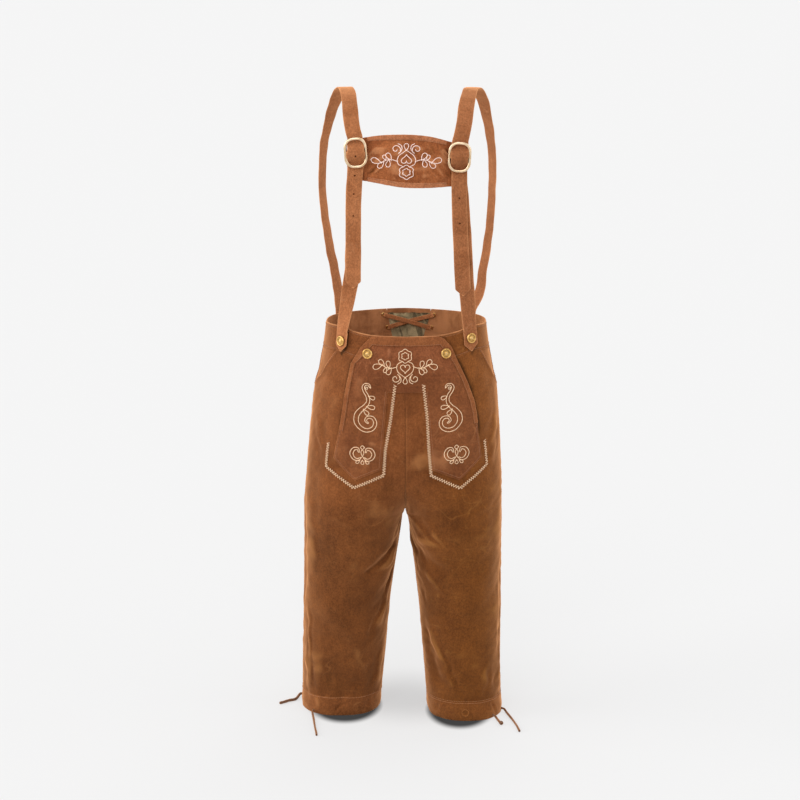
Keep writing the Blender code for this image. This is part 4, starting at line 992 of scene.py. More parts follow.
# %% [markdown]
# ## Knee laces
#
# A drawstring runs in each knee band, and its free ends come out beside the slit. Suede
# lace is limp, so the ends lie on whatever is under them in easy curves. The lengths are
# the ones that show, and there is no coil. Each end is a curve with a round bevel, which
# keeps its length exactly, and a small knot closes one of them.

# %% Cords
LaceEnd = namedtuple("LaceEnd", "node girth radius far_end points")
LACE_ENDS = (
    LaceEnd("knee_lace_right_back", -0.10, 0.0026, "bare",
            ((-0.2150, 0.0210), (-0.2270, 0.0135), (-0.2370, 0.0050), (-0.2450, -0.0010))),
    LaceEnd("knee_lace_right_front", 0.28, 0.0020, "bare",
            ((-0.1775, -0.0660), (-0.1755, -0.0830), (-0.1735, -0.1040), (-0.1710, -0.1270),
             (-0.1685, -0.1460), (-0.1670, -0.1610))),
    LaceEnd("knee_lace_left_front", 0.26, 0.0022, "knot",
            ((0.1765, -0.0815), (0.1790, -0.0910), (0.1820, -0.1020))),
    LaceEnd("knee_lace_left_back", 0.10, 0.0021, "bare",
            ((0.1960, -0.0470), (0.2020, -0.0700), (0.2080, -0.0950), (0.2130, -0.1200),
             (0.2160, -0.1420))),
)
LACE_EXIT_LEVEL = 0.006
LACE_SAG = 0.001
CUFF_PROUD = 0.0006
KNOT_RADIUS = 0.0042
KNOT_SHIFT = 0.0010
KNOT_TURNS = 2.5


def running_length(points):
    """How far along a line each of its points lies."""
    steps = np.linalg.norm(np.diff(points, axis=0), axis=1)
    return np.concatenate([[0], np.cumsum(steps)])


def spaced_out(rows, length, count):
    """A line's rows read off at evenly spaced places along it."""
    at = np.linspace(0, length[-1], count + 1)
    return np.stack([np.interp(at, length, column) for column in rows.T], axis=1)


def curve_through(points, spacing):
    """Points every so often on a smooth curve through rows whose first three numbers are
    a place."""
    rows = np.array(points, float)
    ends = np.vstack([2 * rows[0] - rows[1], rows, 2 * rows[-1] - rows[-2]])
    fine = []
    for p0, p1, p2, p3 in zip(ends, ends[1:], ends[2:], ends[3:]):
        for t in np.linspace(0, 1, 24, endpoint=False):
            cubic = 3 * p1 + p3 - p0 - 3 * p2
            square = 2 * p0 - 5 * p1 + 4 * p2 - p3
            fine.append(p1 + 0.5 * ((p2 - p0) * t + square * t**2 + cubic * t**3))
    fine.append(rows[-1])
    fine = np.array(fine)
    length = running_length(fine[:, :3])
    return spaced_out(fine, length, max(int(round(length[-1] / spacing)), 2))


def smooth_leather(side, girth, level, out):
    """One point of the surface with only the large folds, where the solids have it."""
    height = true_height(np.array([girth]), np.array([level]))
    relief = small_relief(np.array([side]), np.array([girth]), height)
    return leather(side, girth, level, out - relief, SEAM / 2)[0][0]


# %% Laces
def lace_along(name, points, thickness, unevenness=0.0):
    """A curve of one open line with a round section and closed ends, which rides as a piece."""
    curve = bpy.data.curves.new(name, "CURVE")
    curve.dimensions = "3D"
    curve.bevel_depth = thickness
    curve.bevel_resolution = 3
    curve.use_fill_caps = True
    spline = curve.splines.new("POLY")
    spline.points.add(len(points) - 1)
    for index, (spot, point) in enumerate(zip(spline.points, points)):
        spot.co = (*point, 1)
        spot.radius = 1.0 + unevenness * math.sin(index * 1.9) * (index % 3 - 1)
    curve.materials.append(LACE_SUEDE)
    return add_piece(name, curve)


def knot_points(middle, ball):
    """A single overhand knot, drawn tight: a few turns of the same lace in a ball."""
    points = []
    for t in np.linspace(0, 1, 46):
        angle = 2 * math.pi * KNOT_TURNS * t
        tilt = math.pi * (t - 0.5) * 0.8
        local = (ball * math.cos(angle) * math.cos(tilt), ball * math.sin(tilt) * 0.9,
                 ball * math.sin(angle) * math.cos(tilt))
        points.append([m + n for m, n in zip(middle, local)])
    return points


# %% Lay the laces
for row in LACE_ENDS:
    side = -1 if row.points[0][0] < 0 else 1
    out = CUFF_PROUD + SEAM
    exit_point = smooth_leather(side, row.girth, LACE_EXIT_LEVEL, out)
    leaving = smooth_leather(side, row.girth, LACE_EXIT_LEVEL, out + 3 * row.radius)
    leaving[2] -= LACE_SAG
    points = [tuple(exit_point), tuple(leaving)]
    points += [(x, y, row.radius - SHOULDER) for x, y in row.points]
    route = curve_through(points, row.radius * 1.5)
    lace = lace_along(row.node + "_suede", route, row.radius, 0.12)
    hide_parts(row.node)
    if row.far_end == "knot":
        x, y = row.points[-1]
        middle = (x + KNOT_SHIFT, y - KNOT_RADIUS - SEAM, KNOT_RADIUS - SHOULDER)
        thickness = row.radius * 0.62
        knot = lace_along("knot_wound", knot_points(middle, KNOT_RADIUS - thickness), thickness)
        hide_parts("knee_lace_knot")
    long = float(running_length(route)[-1])
    print(f"{row.node}: {long * 1000:.0f} mm long, {2000 * row.radius:.1f} mm thick")

# %% [markdown]
# ## Trousers
#
# Two front and two back panels, each cut in one from the waistband seam to the knee. The
# front panels are cut away at the slant pockets, where a facing shows a step further in.
# The band on top is in four lengths, and a cloth gusset spreads the middle back. The seams
# sink in and the leather swells beside them, and cut edges are rounded and pale.

# %% What lies close over the panels, and the shadows painted beside it
# The drop front's outline on each side, which the panels need for the shadow painted beside it
FlapPoint = namedtuple("FlapPoint", "x level")
FLAP_RIGHT = (
    FlapPoint(0.067, 0.759), FlapPoint(0.081, 0.741), FlapPoint(0.099, 0.708),
    FlapPoint(0.108, 0.660), FlapPoint(0.116, 0.610), FlapPoint(0.122, 0.578),
    FlapPoint(0.132, 0.523), FlapPoint(0.093, 0.485), FlapPoint(0.045, 0.506),
    FlapPoint(0.033, 0.660),
)
FLAP_LEFT = (
    FlapPoint(0.070, 0.759), FlapPoint(0.083, 0.742), FlapPoint(0.0975, 0.706),
    FlapPoint(0.1105, 0.671), FlapPoint(0.1215, 0.637), FlapPoint(0.1325, 0.590),
    FlapPoint(0.141, 0.523), FlapPoint(0.099, 0.485), FlapPoint(0.049, 0.506),
    FlapPoint(0.036, 0.660),
)


def outline_across(points, side):
    return [(across_at(side * point.x, point.level), point.level) for point in points]


def flat_places(places):
    """Pattern places, which are shares of the girth, in metres."""
    return np.array([(float(across) * GIRTH_SCALE, level) for across, level in places])


# Where each tab's edge lies on the trousers, as girths and levels: the line that the shadow painted
# beside the tab follows
TAB_EDGES = {
    -1: ((0.477, 0.768), (0.477, 0.736), (0.468, 0.729), (0.428, 0.7165)),
    1: ((0.350, 0.752), (0.350, 0.738), (0.358, 0.729), (0.410, 0.7165)),
}
# How wide and how dark each painted shadow is: beside the flap's free edge, and beside the tab
Shade = namedtuple("Shade", "near near_dark far far_dark tab tab_dark")
SHADE_SHIFT = 0.0012 / GIRTH_SCALE
SHADES = {
    -1: Shade(0.0026, 0.90, 0.0090, 0.16, 0.0036, 1.00),
    1: Shade(0.0060, 1.00, 0.0140, 0.35, 0.0055, 0.60),
}


def painted_contact_shadow(side):
    """The dark line painted as a shadow beside the flap's free edge and beside the tab."""
    edge = FLAP_RIGHT if side < 0 else FLAP_LEFT
    flap_edge = [(1 - abs(across) - SHADE_SHIFT, level)
                 for across, level in outline_across(edge[:7], side)]
    flap_edge, tab_edge = flat_places(flap_edge), flat_places(TAB_EDGES[side])
    kind = SHADES[side]

    def darkness(across, level):
        spots = np.stack([across * GIRTH_SCALE, level], axis=1)
        from_flap = outline_distance(spots, flap_edge, closed=False)
        from_tab = outline_distance(spots, tab_edge, closed=False)
        free = smooth_step(level, 0.545, 0.60) * (1 - 0.6 * smooth_step(level, 0.70, 0.73))
        dark = free * kind.near_dark * bell(from_flap, kind.near)
        dark = dark + free * kind.far_dark * bell(from_flap, kind.far)
        return np.minimum(dark + kind.tab_dark * bell(from_tab, kind.tab), 1.0)

    return darkness


def painted_panel_shade(side):
    """The painted shade on a front panel, beside what lies close over it and on its middle seam:
    there a dark line of painted shadow, widest over the fork, with a pale line beside it on the
    left panel, which lies on top."""
    close = painted_contact_shadow(side)

    def darkness(across, level):
        away = (1 - across) * GIRTH_SCALE
        low = 1 - smooth_step(level, CROTCH, CROTCH + 0.080)
        on_seam = smooth_step(level, CROTCH - 0.006, CROTCH) * (1 - smooth_step(level, 0.62, 0.66))
        dark = (0.55 + 0.45 * low) * bell(away, 0.0015 + 0.0120 * low)
        from_ridge = away - 0.0030 - 0.0150 * low
        pale = 0.30 * bell(from_ridge, 0.0013 + 0.0040 * low) * (side > 0)
        return close(across, level) + on_seam * (dark - pale)

    return darkness


# %% Panels
# Each slant pocket's mouth, from the band seam to the side seam, as girths and levels
POCKET_MOUTH = {
    -1: ((0.365, BAND_SEAM), (0.280, 0.696), (0.180, 0.670), (0.070, 0.654), (0.0, 0.648)),
    1: ((0.295, BAND_SEAM), (0.230, 0.696), (0.155, 0.671), (0.075, 0.656), (0.0, 0.648)),
}
FACING_STEP = 0.0010
GUSSET_EDGE = {-1: 0.172, 1: 0.238}
GUSSET_FOOT = 0.600
GUSSET_BAND = 0.008
GUSSET_SUNK = 0.0004
BAND_PROUD = 0.0002
PANEL_SPACING = 0.0034
POCKET_GAPE = 0.0012


def gusset_edge(side, level):
    return GUSSET_EDGE[side] * (level - GUSSET_FOOT) / (WAIST - GUSSET_FOOT)


def pocket_distance(side, across, level):
    """How far each place is from the pocket's mouth, and how far along it from 0 to 1."""
    spots = np.stack([across * GIRTH_SCALE, level], axis=1)
    away = outline_distance(spots, flat_places(POCKET_MOUTH[side]), closed=False)
    return away, np.clip(across / POCKET_MOUTH[side][0][0], 0, 1)


def pocket_gape(side):
    """The pocket mouth stands off a little, and the panel under it isn't drawn in."""

    def lift(across, level):
        away, along = pocket_distance(side, across, level)
        gape = POCKET_GAPE * np.sqrt(np.sin(math.pi * along))
        below = bell(away, 0.009) * (along < 1)
        return below * gape + hip_tuck(across, level) * bell(away, 0.016)

    return lift


OVERLAP = 0.0003
panel_low = CUFF_TOP - 0.003
panel_high = BAND_SEAM + OVERLAP


def pocket_edge(side):
    """Only the pocket's mouth shows a pale cut edge. The other edges are sewn in."""

    def paleness(across, level):
        away, along = pocket_distance(side, across, level)
        return 0.12 + 0.7 * bell(away, 0.003) * (along < 1)

    return paleness


for side, word in ((-1, "right"), (1, "left")):
    mouth = [*POCKET_MOUTH[side]]
    mouth[0] = (mouth[0][0], panel_high)
    outline = [(0, panel_low), (1, panel_low), (1, panel_high), *mouth]
    panel = cut_piece(
        f"front_leather_{word}", TROUSER_SUEDE, one_half(side, 1), outline, PANEL_SPACING,
        -LEATHER, 0.0, sewn_in, pocket_gape(side), paleness=pocket_edge(side),
        shade=painted_panel_shade(side),
    )
    stands_for(panel, f"front_panel_{word}", (0.275, 0.700))
    facing = [(girth, height - 0.004) for girth, height in reversed(mouth[1:])]
    facing += [mouth[0], (0, panel_high)]
    pocket = cut_piece(
        f"pocket_leather_{word}", TROUSER_SUEDE, one_half(side, 1), facing, 0.0035,
        -LEATHER - FACING_STEP, -FACING_STEP, sewn_in,
    )
    stands_for(pocket, f"pocket_facing_{word}", (0.115, 0.068))
    notch = [(1, GUSSET_FOOT), (1 - gusset_edge(side, panel_high), panel_high)]
    outline = [(0, panel_low), (1, panel_low), *notch, (0, panel_high)]
    panel = cut_piece(
        f"back_leather_{word}", TROUSER_SUEDE, one_half(side, -1), outline, PANEL_SPACING,
        -LEATHER, 0.0, sewn_in,
    )
    stands_for(panel, f"back_panel_{word}", (0.290, 0.700))


# %% Waistband and gusset
def top_edge(across, level):
    """The waistband's top edge is rubbed pale."""
    del across
    return 0.10 + 0.75 * smooth_step(level, WAIST - 0.0030, WAIST - 0.0012)


for side, word in ((-1, "right"), (1, "left")):
    outline = [(0, BAND_SEAM), (1, BAND_SEAM), (1, WAIST), (0, WAIST)]
    band = cut_piece(
        f"front_band_leather_{word}", TROUSER_SUEDE, one_half(side, 1), outline, 0.0030,
        -LEATHER, BAND_PROUD, paleness=top_edge, pale_border=0.0015, shade=painted_contact_shadow(side),
    )
    stands_for(band, f"waistband_front_{word}", (0.225, 0.047))
    slant = [(1 - gusset_edge(side, level), level) for level in (BAND_SEAM, WAIST)]
    outline = [(0, BAND_SEAM), *slant, (0, WAIST)]
    band = cut_piece(
        f"back_band_leather_{word}", TROUSER_SUEDE, one_half(side, -1), outline, 0.0035,
        -LEATHER, BAND_PROUD, paleness=top_edge, pale_border=0.0012,
    )
    stands_for(band, f"waistband_back_{word}", (0.190, 0.047))

# %% Gusset
CLOTH_THREAD = 0.0011


def make_cloth(name, dark, light):
    """A plain woven cloth, one thread over and one under, on the pattern's own places."""
    made, tree, shader = new_material(name, 0.92, Specular_IOR_Level=0.15)
    chart = tree.nodes.new("ShaderNodeUVMap")
    chart.uv_map = "pattern"
    parts = add_node(tree, "ShaderNodeSeparateXYZ", {0: chart.outputs[0]}).outputs
    threads = 2 * math.pi / CLOTH_THREAD
    warp = calculate(tree, "SINE", calculate(tree, "MULTIPLY", parts["X"], threads))
    weft = calculate(tree, "SINE", calculate(tree, "MULTIPLY", parts["Y"], threads))
    weave = ramp(tree, calculate(tree, "MULTIPLY", warp, weft), -1.0, 1.0)
    cloud = ramp(tree, noise(tree, object_place(tree), 45.0, 2.0, 0.8, 0.5), 0.32, 0.68)
    tone = weigh(tree, (weave, 0.40), (cloud, 0.60))
    # the outer side is painted half as bright as the flesh side, which lies in shade and is painted
    # lighter to make up for it; the mask for cut edges tells the two apart
    tone_and_painted_light = ramp(tree, mesh_mask(tree, "edge"), 0.20, 0.60, 0.50, 1.0)
    tone_and_painted_light = as_colour(tree, tone_and_painted_light, tone_and_painted_light, tone_and_painted_light)
    colour = mix_colour(tree, 1.0, mix_colour(tree, tone, dark, light), tone_and_painted_light, "MULTIPLY")
    tree.links.new(colour, shader.inputs["Base Color"])
    add_bump(tree, shader, tone, 0.4, 0.0004)
    return made


GUSSET_CLOTH = make_cloth("olive gusset cloth", srgb(94, 83, 59), srgb(196, 176, 136))


# %% Cut the gusset
FOLD_PITCH = 0.0031
UPRIGHT_RISE = 0.0010
SLANTING_RISE = 0.0026


def puckered(across, level):
    """The cloth is drawn in by the lace, so it stands in soft upright folds."""
    depth = smooth_step(level, 0.64, 0.73)
    upright = np.sin(across * GIRTH_SCALE / FOLD_PITCH + 60 * (level - 0.7))
    slanting = waves(across * GIRTH_SCALE + 0.5 * level, level * 0.3, 44, 0.045, 0.022, 5)
    return depth * (UPRIGHT_RISE * upright + SLANTING_RISE * slanting)


# The gusset's edges are sewn in under the leather beside them
TUCKED_UNDER = 0.0009 / GIRTH_SCALE
gusset_top = WAIST - GUSSET_BAND
right_edge, left_edge = (
    side * (gusset_edge(side, gusset_top) + TUCKED_UNDER) for side in (-1, 1)
)
gusset = cut_piece(
    "gusset_cloth", GUSSET_CLOTH, back,
    [(right_edge, gusset_top), (0, GUSSET_FOOT), (left_edge, gusset_top)], 0.0022,
    -LEATHER, -GUSSET_SUNK, sewn_in, puckered,
)
stands_for(gusset, "back_gusset", (0.110, 0.158))
band = cut_piece(
    "gusset_band_leather", TROUSER_SUEDE, back,
    [(right_edge, gusset_top - 0.001), (left_edge, gusset_top - 0.001),
     (left_edge, WAIST), (right_edge, WAIST)], 0.0025, -LEATHER, BAND_PROUD,
)
stands_for(band, "back_gusset_band", (0.108, 0.010))

# %% [markdown]
# ## Drop front
#
# The flap is buttoned at its two upper corners and ends in a pointed tongue on each thigh.
# It lies on the panels as a second layer, and its free edges stand off a little between the
# button and the end of the slit, which is where the darkest shadow of the front lies; that
# shadow is painted into the panels as well. A strip of lighter suede edges its top, its
# corners and its sides.

# %% Drop front
FLAP_TOP = 0.7655
TOP_CORNER = 0.059
FLAP_OUT = 0.0006
EDGING_OUT = FLAP_OUT + LEATHER + SEAM
EDGING = 0.010
EDGED_POINTS = 6
CORNER_LEVEL = 0.73
RIGHT_STAND_OFF = 0.0012
LEFT_STAND_OFF = 0.0066
HALF_FRONT = 0.250
FOLD_SHARE = 0.9


def edging_inside(point, towards_middle):
    across, level = point
    down = EDGING if level > CORNER_LEVEL else 0
    return (across + towards_middle * EDGING / GIRTH_SCALE, level - down)


def stand_off(across, level):
    """The flap's free edge lifts between the button and the slit, more on the left."""
    between = smooth_step(level, 0.575, 0.64) * (1 - smooth_step(level, 0.675, 0.72))
    right_line = np.interp(level, (0.578, 0.610, 0.660, 0.708), (-0.122, -0.116, -0.108, -0.099))
    left_line = np.interp(level, (0.590, 0.637, 0.671, 0.706), (0.1325, 0.1215, 0.1105, 0.0975))
    x = across * HALF_FRONT
    near_right = bell(x - right_line * 1.04, 0.022)
    near_left = bell(x - left_line * 1.04, 0.026)
    return between * (RIGHT_STAND_OFF * near_right + LEFT_STAND_OFF * near_left)


FLAP_FOLDS = tuple(Fold(*row) for row in (
    # drag lines below the buttons and along the top
    (1, 0.755, 0.712, 0.795, 0.69, 0.003, 0.001), (-1, 0.735, 0.712, 0.77, 0.692, 0.003, 0.0011),
    (-1, 0.86, 0.748, 0.84, 0.715, 0.0035, 0.001), (-1, 0.92, 0.75, 0.88, 0.712, 0.004, -0.0008),
    (1, 0.88, 0.742, 0.93, 0.716, 0.004, 0.0008), (1, 0.78, 0.745, 0.74, 0.72, 0.0035, -0.0008),
    # bends of the tongues
    (-1, 0.6, 0.565, 0.86, 0.548, 0.005, 0.0008), (1, 0.58, 0.57, 0.86, 0.552, 0.005, 0.0008),
    (-1, 0.66, 0.64, 0.6, 0.56, 0.005, -0.001), (1, 0.64, 0.65, 0.56, 0.58, 0.006, -0.001),
    (-1, 0.97, 0.735, 0.965, 0.59, 0.005, 0.0006),
))


def flap_place(across, level, out):
    """The panels' face with the flap's own creases and its free edges."""
    across = np.atleast_1d(np.asarray(across, float))
    level = np.broadcast_to(np.asarray(level, float), across.shape)
    side = np.where(across >= 0, 1, -1)
    girth = np.maximum(1 - np.abs(across), 1e-6)
    u = across * GIRTH_SCALE
    folds = [fold._replace(girth1=fold.girth1 * FOLD_SHARE, girth2=fold.girth2 * FOLD_SHARE)
             for fold in FLAP_FOLDS]
    own = fold_rise(side, girth * FOLD_SHARE, level, folds, 0.002)
    own = own + 0.00035 * waves(u, level, 91, 0.05, 0.012, 12)
    points, relief = front(across, level, np.asarray(out, float) + own + stand_off(across, level))
    return points, relief + own


# %% Cut the flap and its edging
flap_right = outline_across(FLAP_RIGHT, -1)
flap_left = outline_across(FLAP_LEFT, 1)
top_right = (across_at(-TOP_CORNER, FLAP_TOP), FLAP_TOP)
top_left = (across_at(TOP_CORNER, FLAP_TOP), FLAP_TOP)
right_strip = flap_right[:EDGED_POINTS]
left_strip = flap_left[:EDGED_POINTS]
inner_edge = [
    *reversed([edging_inside(point, 1) for point in right_strip]),
    *[edging_inside(point, -1) for point in left_strip],
]
edging_outline = [top_right, *right_strip, *inner_edge, *reversed(left_strip), top_left]


def groove(across, level):
    """A painted shadow: the dark line on the flap along the edging's inner edge."""
    spots = np.stack([across * GIRTH_SCALE, level], axis=1)
    return 0.55 * bell(outline_distance(spots, flat_places(inner_edge), closed=False), 0.0016)


flap_outline = [top_right, *flap_right, *reversed(flap_left), top_left]
flap = cut_piece(
    "flap_leather", FLAP_SUEDE, flap_place, flap_outline, 0.0026, FLAP_OUT,
    FLAP_OUT + LEATHER, rounded, shade=groove,
)
stands_for(flap, "drop_front", (0.330, 0.290))
EDGING_SUEDE = suede(
    "edging suede", srgb(114, 63, 34), srgb(142, 86, 50), srgb(188, 128, 88), 1.0, 22.0, 0.35, 0.45
)
edging = cut_piece(
    "flap_edging_leather", EDGING_SUEDE, flap_place, edging_outline, 0.0026,
    EDGING_OUT, EDGING_OUT + TRIM, rounded,
)
stands_for(edging, "drop_front_edging", (0.460, 0.012))

# %% [markdown]
# ## Knee bands
#
# A strip round each leg holds the drawstring in a casing, so it is a little fuller than
# the leg, and its ends meet in a slit at the side seam.

# %% Knee bands
CUFF_SLIT = 0.003
cuff_end = CUFF_SLIT / 2 / GIRTH_SCALE


def casing(across, level):
    """The drawstring's casing swells along the middle of the band."""
    del across
    return 0.0007 * bell(level - 0.012, 0.009)


def hem_shade(across, level):
    """Painted shade: the hem's lower edge is painted darker, as it turns away from the light."""
    del across
    return 0.55 * bell(level, 0.0013)


for side, word in ((-1, "right"), (1, "left")):
    low, high = 0.0, CUFF_TOP
    outline = [(cuff_end, low), (2 - cuff_end, low), (2 - cuff_end, high), (cuff_end, high)]
    cuff = cut_piece(
        f"knee_band_leather_{word}", CUFF_SUEDE, round_leg(side), outline, 0.0030,
        -LEATHER, CUFF_PROUD, rounded, casing, shade=hem_shade,
    )
    stands_for(cuff, f"cuff_{word}", (0.520, 0.039))

# %% [markdown]
# ## Braces
#
# Each brace is a long strap over the shoulder, which is woven through a buckle, and a short
# one that holds the buckle's bar. Both are buttoned to the waistband by a tab. A strap is
# leather 2 mm thick and 28 mm wide, and its edges are rounded by wear. It is a ribbon here:
# a cross-section with a rounded edge and a slight cup, carried along the path, whose
# stations say where the strap lies and which way it faces.

# %% Strap stations
STRAP_WIDTH = 0.028
STRAP = 0.0020
BUCKLE_Y = -0.118
BUCKLE_HEIGHT = 1.087
# The two buckles hang unevenly, and the straps beside them follow
BUCKLE_LIFT = {-1: 0.005, 1: -0.003}
LIFT_FULL = 0.030
LIFT_END = 0.080
# The free end below the right buckle is a little shorter than the left one
FREE_END_LIFT = {-1: 0.0065, 1: -0.0075}
FREE_END_TOP = 0.92
FREE_END_LOW = 0.84
# What lies further forward than this is the straps' front part
IN_FRONT = -0.05
# The radius of the buckle's ring and of its bar
RIM = 0.0028
BAR = 0.0020
Station = namedtuple("Station", "x shift y height turn")
SHOULDER_STRAP = (
    Station(0.1000, 0.0050, -0.1030, 0.838, 0),
    Station(0.0985, 0.0040, -0.1060, 0.880, 0),
    Station(0.0965, 0.0025, -0.1100, 0.940, 0),
    Station(0.0950, 0.0015, -0.1130, 1.000, 0),
    Station(0.0935, 0.0028, BUCKLE_Y + 0.0040, BUCKLE_HEIGHT - 0.0400, 0),
    Station(0.0930, 0.0033, BUCKLE_Y + 0.0054, BUCKLE_HEIGHT - 0.0280, 0),
    Station(0.0928, 0.0035, BUCKLE_Y + 0.0050, BUCKLE_HEIGHT - 0.0215, 0),
    Station(0.0926, 0.0036, BUCKLE_Y + 0.0020, BUCKLE_HEIGHT - 0.0145, 0),
    Station(0.0925, 0.0036, BUCKLE_Y - 0.0048, BUCKLE_HEIGHT - 0.0065, 0),
    Station(0.0925, 0.0036, BUCKLE_Y - 0.0062, BUCKLE_HEIGHT, 0),
    Station(0.0927, 0.0036, BUCKLE_Y - 0.0048, BUCKLE_HEIGHT + 0.0065, 0),
    Station(0.0931, 0.0036, BUCKLE_Y + 0.0020, BUCKLE_HEIGHT + 0.0145, 0),
    Station(0.0936, 0.0036, BUCKLE_Y + 0.0050, BUCKLE_HEIGHT + 0.0215, 0),
    Station(0.0941, 0.0035, BUCKLE_Y + 0.0056, BUCKLE_HEIGHT + 0.0280, 0),
    Station(0.0970, 0.0033, -0.1105, 1.126, 0),
    Station(0.1010, 0.0040, -0.1010, 1.146, 0),
    Station(0.1040, 0.0045, -0.0815, 1.169, 2),
    Station(0.1085, 0.0055, -0.0500, 1.189, 5),
    Station(0.1150, 0.0060, -0.0130, 1.1985, 12),
    Station(0.1240, 0.0065, 0.0250, 1.192, 24),
    Station(0.1360, 0.0070, 0.0580, 1.170, 40),
    Station(0.1480, 0.0060, 0.0860, 1.130, 52),
    Station(0.1580, 0.0045, 0.1050, 1.080, 60),
    Station(0.1615, 0.0040, 0.1150, 1.020, 63),
    Station(0.1600, 0.0045, 0.1160, 0.970, 63),
    Station(0.1530, 0.0055, 0.1120, 0.905, 61),
    Station(0.1420, 0.0070, 0.1010, 0.845, 57),
    Station(0.1345, 0.0070, 0.0900, 0.800, 53),
)
# The row of the table that lies over the buckle's bar
OVER_BAR = 9
LOWER_STRAP = (
    Station(0.1039, 0.0064, -0.1000, 0.862, 0),
    Station(0.1016, 0.0061, -0.1030, 0.900, 0),
    Station(0.0988, 0.0046, -0.1075, 0.960, 0),
    Station(0.0965, 0.0030, -0.1100, 1.010, 0),
    Station(0.0937, 0.0028, -0.1108, 1.045, 0),
    Station(0.0928, 0.0035, BUCKLE_Y + 0.0079, BUCKLE_HEIGHT - 0.0250, 0),
    Station(0.0925, 0.0036, BUCKLE_Y + 0.0041, BUCKLE_HEIGHT - 0.0080, 0),
)
# Each tab's girth, levels, gap from the panels, turn towards its own side and button
Tab = namedtuple("Tab", "girth levels gap turn button_level")
FRONT_LEVELS = (0.768, 0.752, 0.736, 0.722)
BACK_LEVELS = (0.772, 0.755, 0.738, 0.718)
FRONT_TABS = {
    -1: Tab(0.435, FRONT_LEVELS, 0.0034, -8, 0.7415),
    1: Tab(0.425, FRONT_LEVELS, 0.0026, 10, 0.7460),
}
BACK_TABS = {
    -1: Tab(-0.385, BACK_LEVELS, 0.0014, 0, 0.7415),
    1: Tab(-0.385, BACK_LEVELS, 0.0014, 0, 0.7460),
}
STRAP_POINT = 0.013
POINT_TIP = 0.002
PATH_STEP = 0.0022


# %% Strap paths
def strap_row(side, row):
    """A station as a place and the direction of the strap's width."""
    angle = math.radians(row.turn)
    lift = 0.0
    if row.y < 0:
        from_buckle = abs(row.height - BUCKLE_HEIGHT)
        lift = BUCKLE_LIFT[side] * (1 - smooth_step(from_buckle, LIFT_FULL, LIFT_END))
        lift += FREE_END_LIFT[side] * (1 - smooth_step(row.height, FREE_END_LOW, FREE_END_TOP))
    return (
        side * row.x + row.shift, row.y, row.height + lift - SHOULDER,
        -side * math.cos(angle), math.sin(angle), 0.0,
    )


def tab_turn(side, tab):
    return np.array(Matrix.Rotation(math.radians(-side * tab.turn), 3, "Z"))


def tab_rows(side, tab):
    """Stations down the trousers' face, for a tab that is buttoned there."""
    rows = []
    for level in tab.levels:
        place, before, after = (
            leather(side, tab.girth + shift, min(level, WAIST), STRAP / 2 + tab.gap)[0][0]
            for shift in (0, -0.02, 0.02)
        )
        place[2] += max(level - WAIST, 0)
        across = tab_turn(side, tab) @ ((after - before) / np.linalg.norm(after - before))
        rows.append((*place, *(across if tab.girth > 0 else -across)))
    return rows


def buckle_centre(side):
    x, _, z = strap_row(side, SHOULDER_STRAP[OVER_BAR])[:3]
    return np.array((x, BUCKLE_Y, z))


def loop_round_bar(side, last):
    """The strap's turn over the buckle's bar, from behind it to its front."""
    radius = BAR + 2 * SEAM + STRAP / 2
    centre = buckle_centre(side)
    rows = []
    for degrees in range(0, 211, 15):
        angle = math.radians(degrees)
        y, z = centre[1] + radius * math.cos(angle), centre[2] + radius * math.sin(angle)
        rows.append((last[0], y, z, *last[3:6]))
    return rows


def shoulder_path(side):
    table = [strap_row(side, row) for row in SHOULDER_STRAP]
    return curve_through([*table, *tab_rows(side, BACK_TABS[side])], PATH_STEP)


def front_path(side):
    table = [strap_row(side, row) for row in LOWER_STRAP]
    path = curve_through([*tab_rows(side, FRONT_TABS[side])[::-1], *table], PATH_STEP)
    return np.vstack([path, loop_round_bar(side, path[-1])[1:]])


# %% Ribbon
# The cross-section: share of the half width, share of the half thickness, paleness
CROSS_SECTION = (
    (-1.00, 0.35, 1.0), (-0.975, 0.85, 0.75), (-0.91, 1.0, 0.15), (-0.70, 1.0, 0.0),
    (-0.35, 1.0, 0.0), (0.0, 1.0, 0.0), (0.35, 1.0, 0.0), (0.70, 1.0, 0.0),
    (0.91, 1.0, 0.15), (0.975, 0.85, 0.75), (1.00, 0.35, 1.0),
)
StrapBend = namedtuple("StrapBend", "place reach depth")


def strap_frame(path):
    """Places, and the directions along, across and out of the strap."""
    places = path[:, :3]
    along = np.gradient(places, axis=0)
    along /= np.linalg.norm(along, axis=1)[:, None]
    across = path[:, 3:6] - along * (path[:, 3:6] * along).sum(1)[:, None]
    across /= np.linalg.norm(across, axis=1)[:, None]
    out = np.cross(across, along)
    return places, along, across, out, running_length(places)


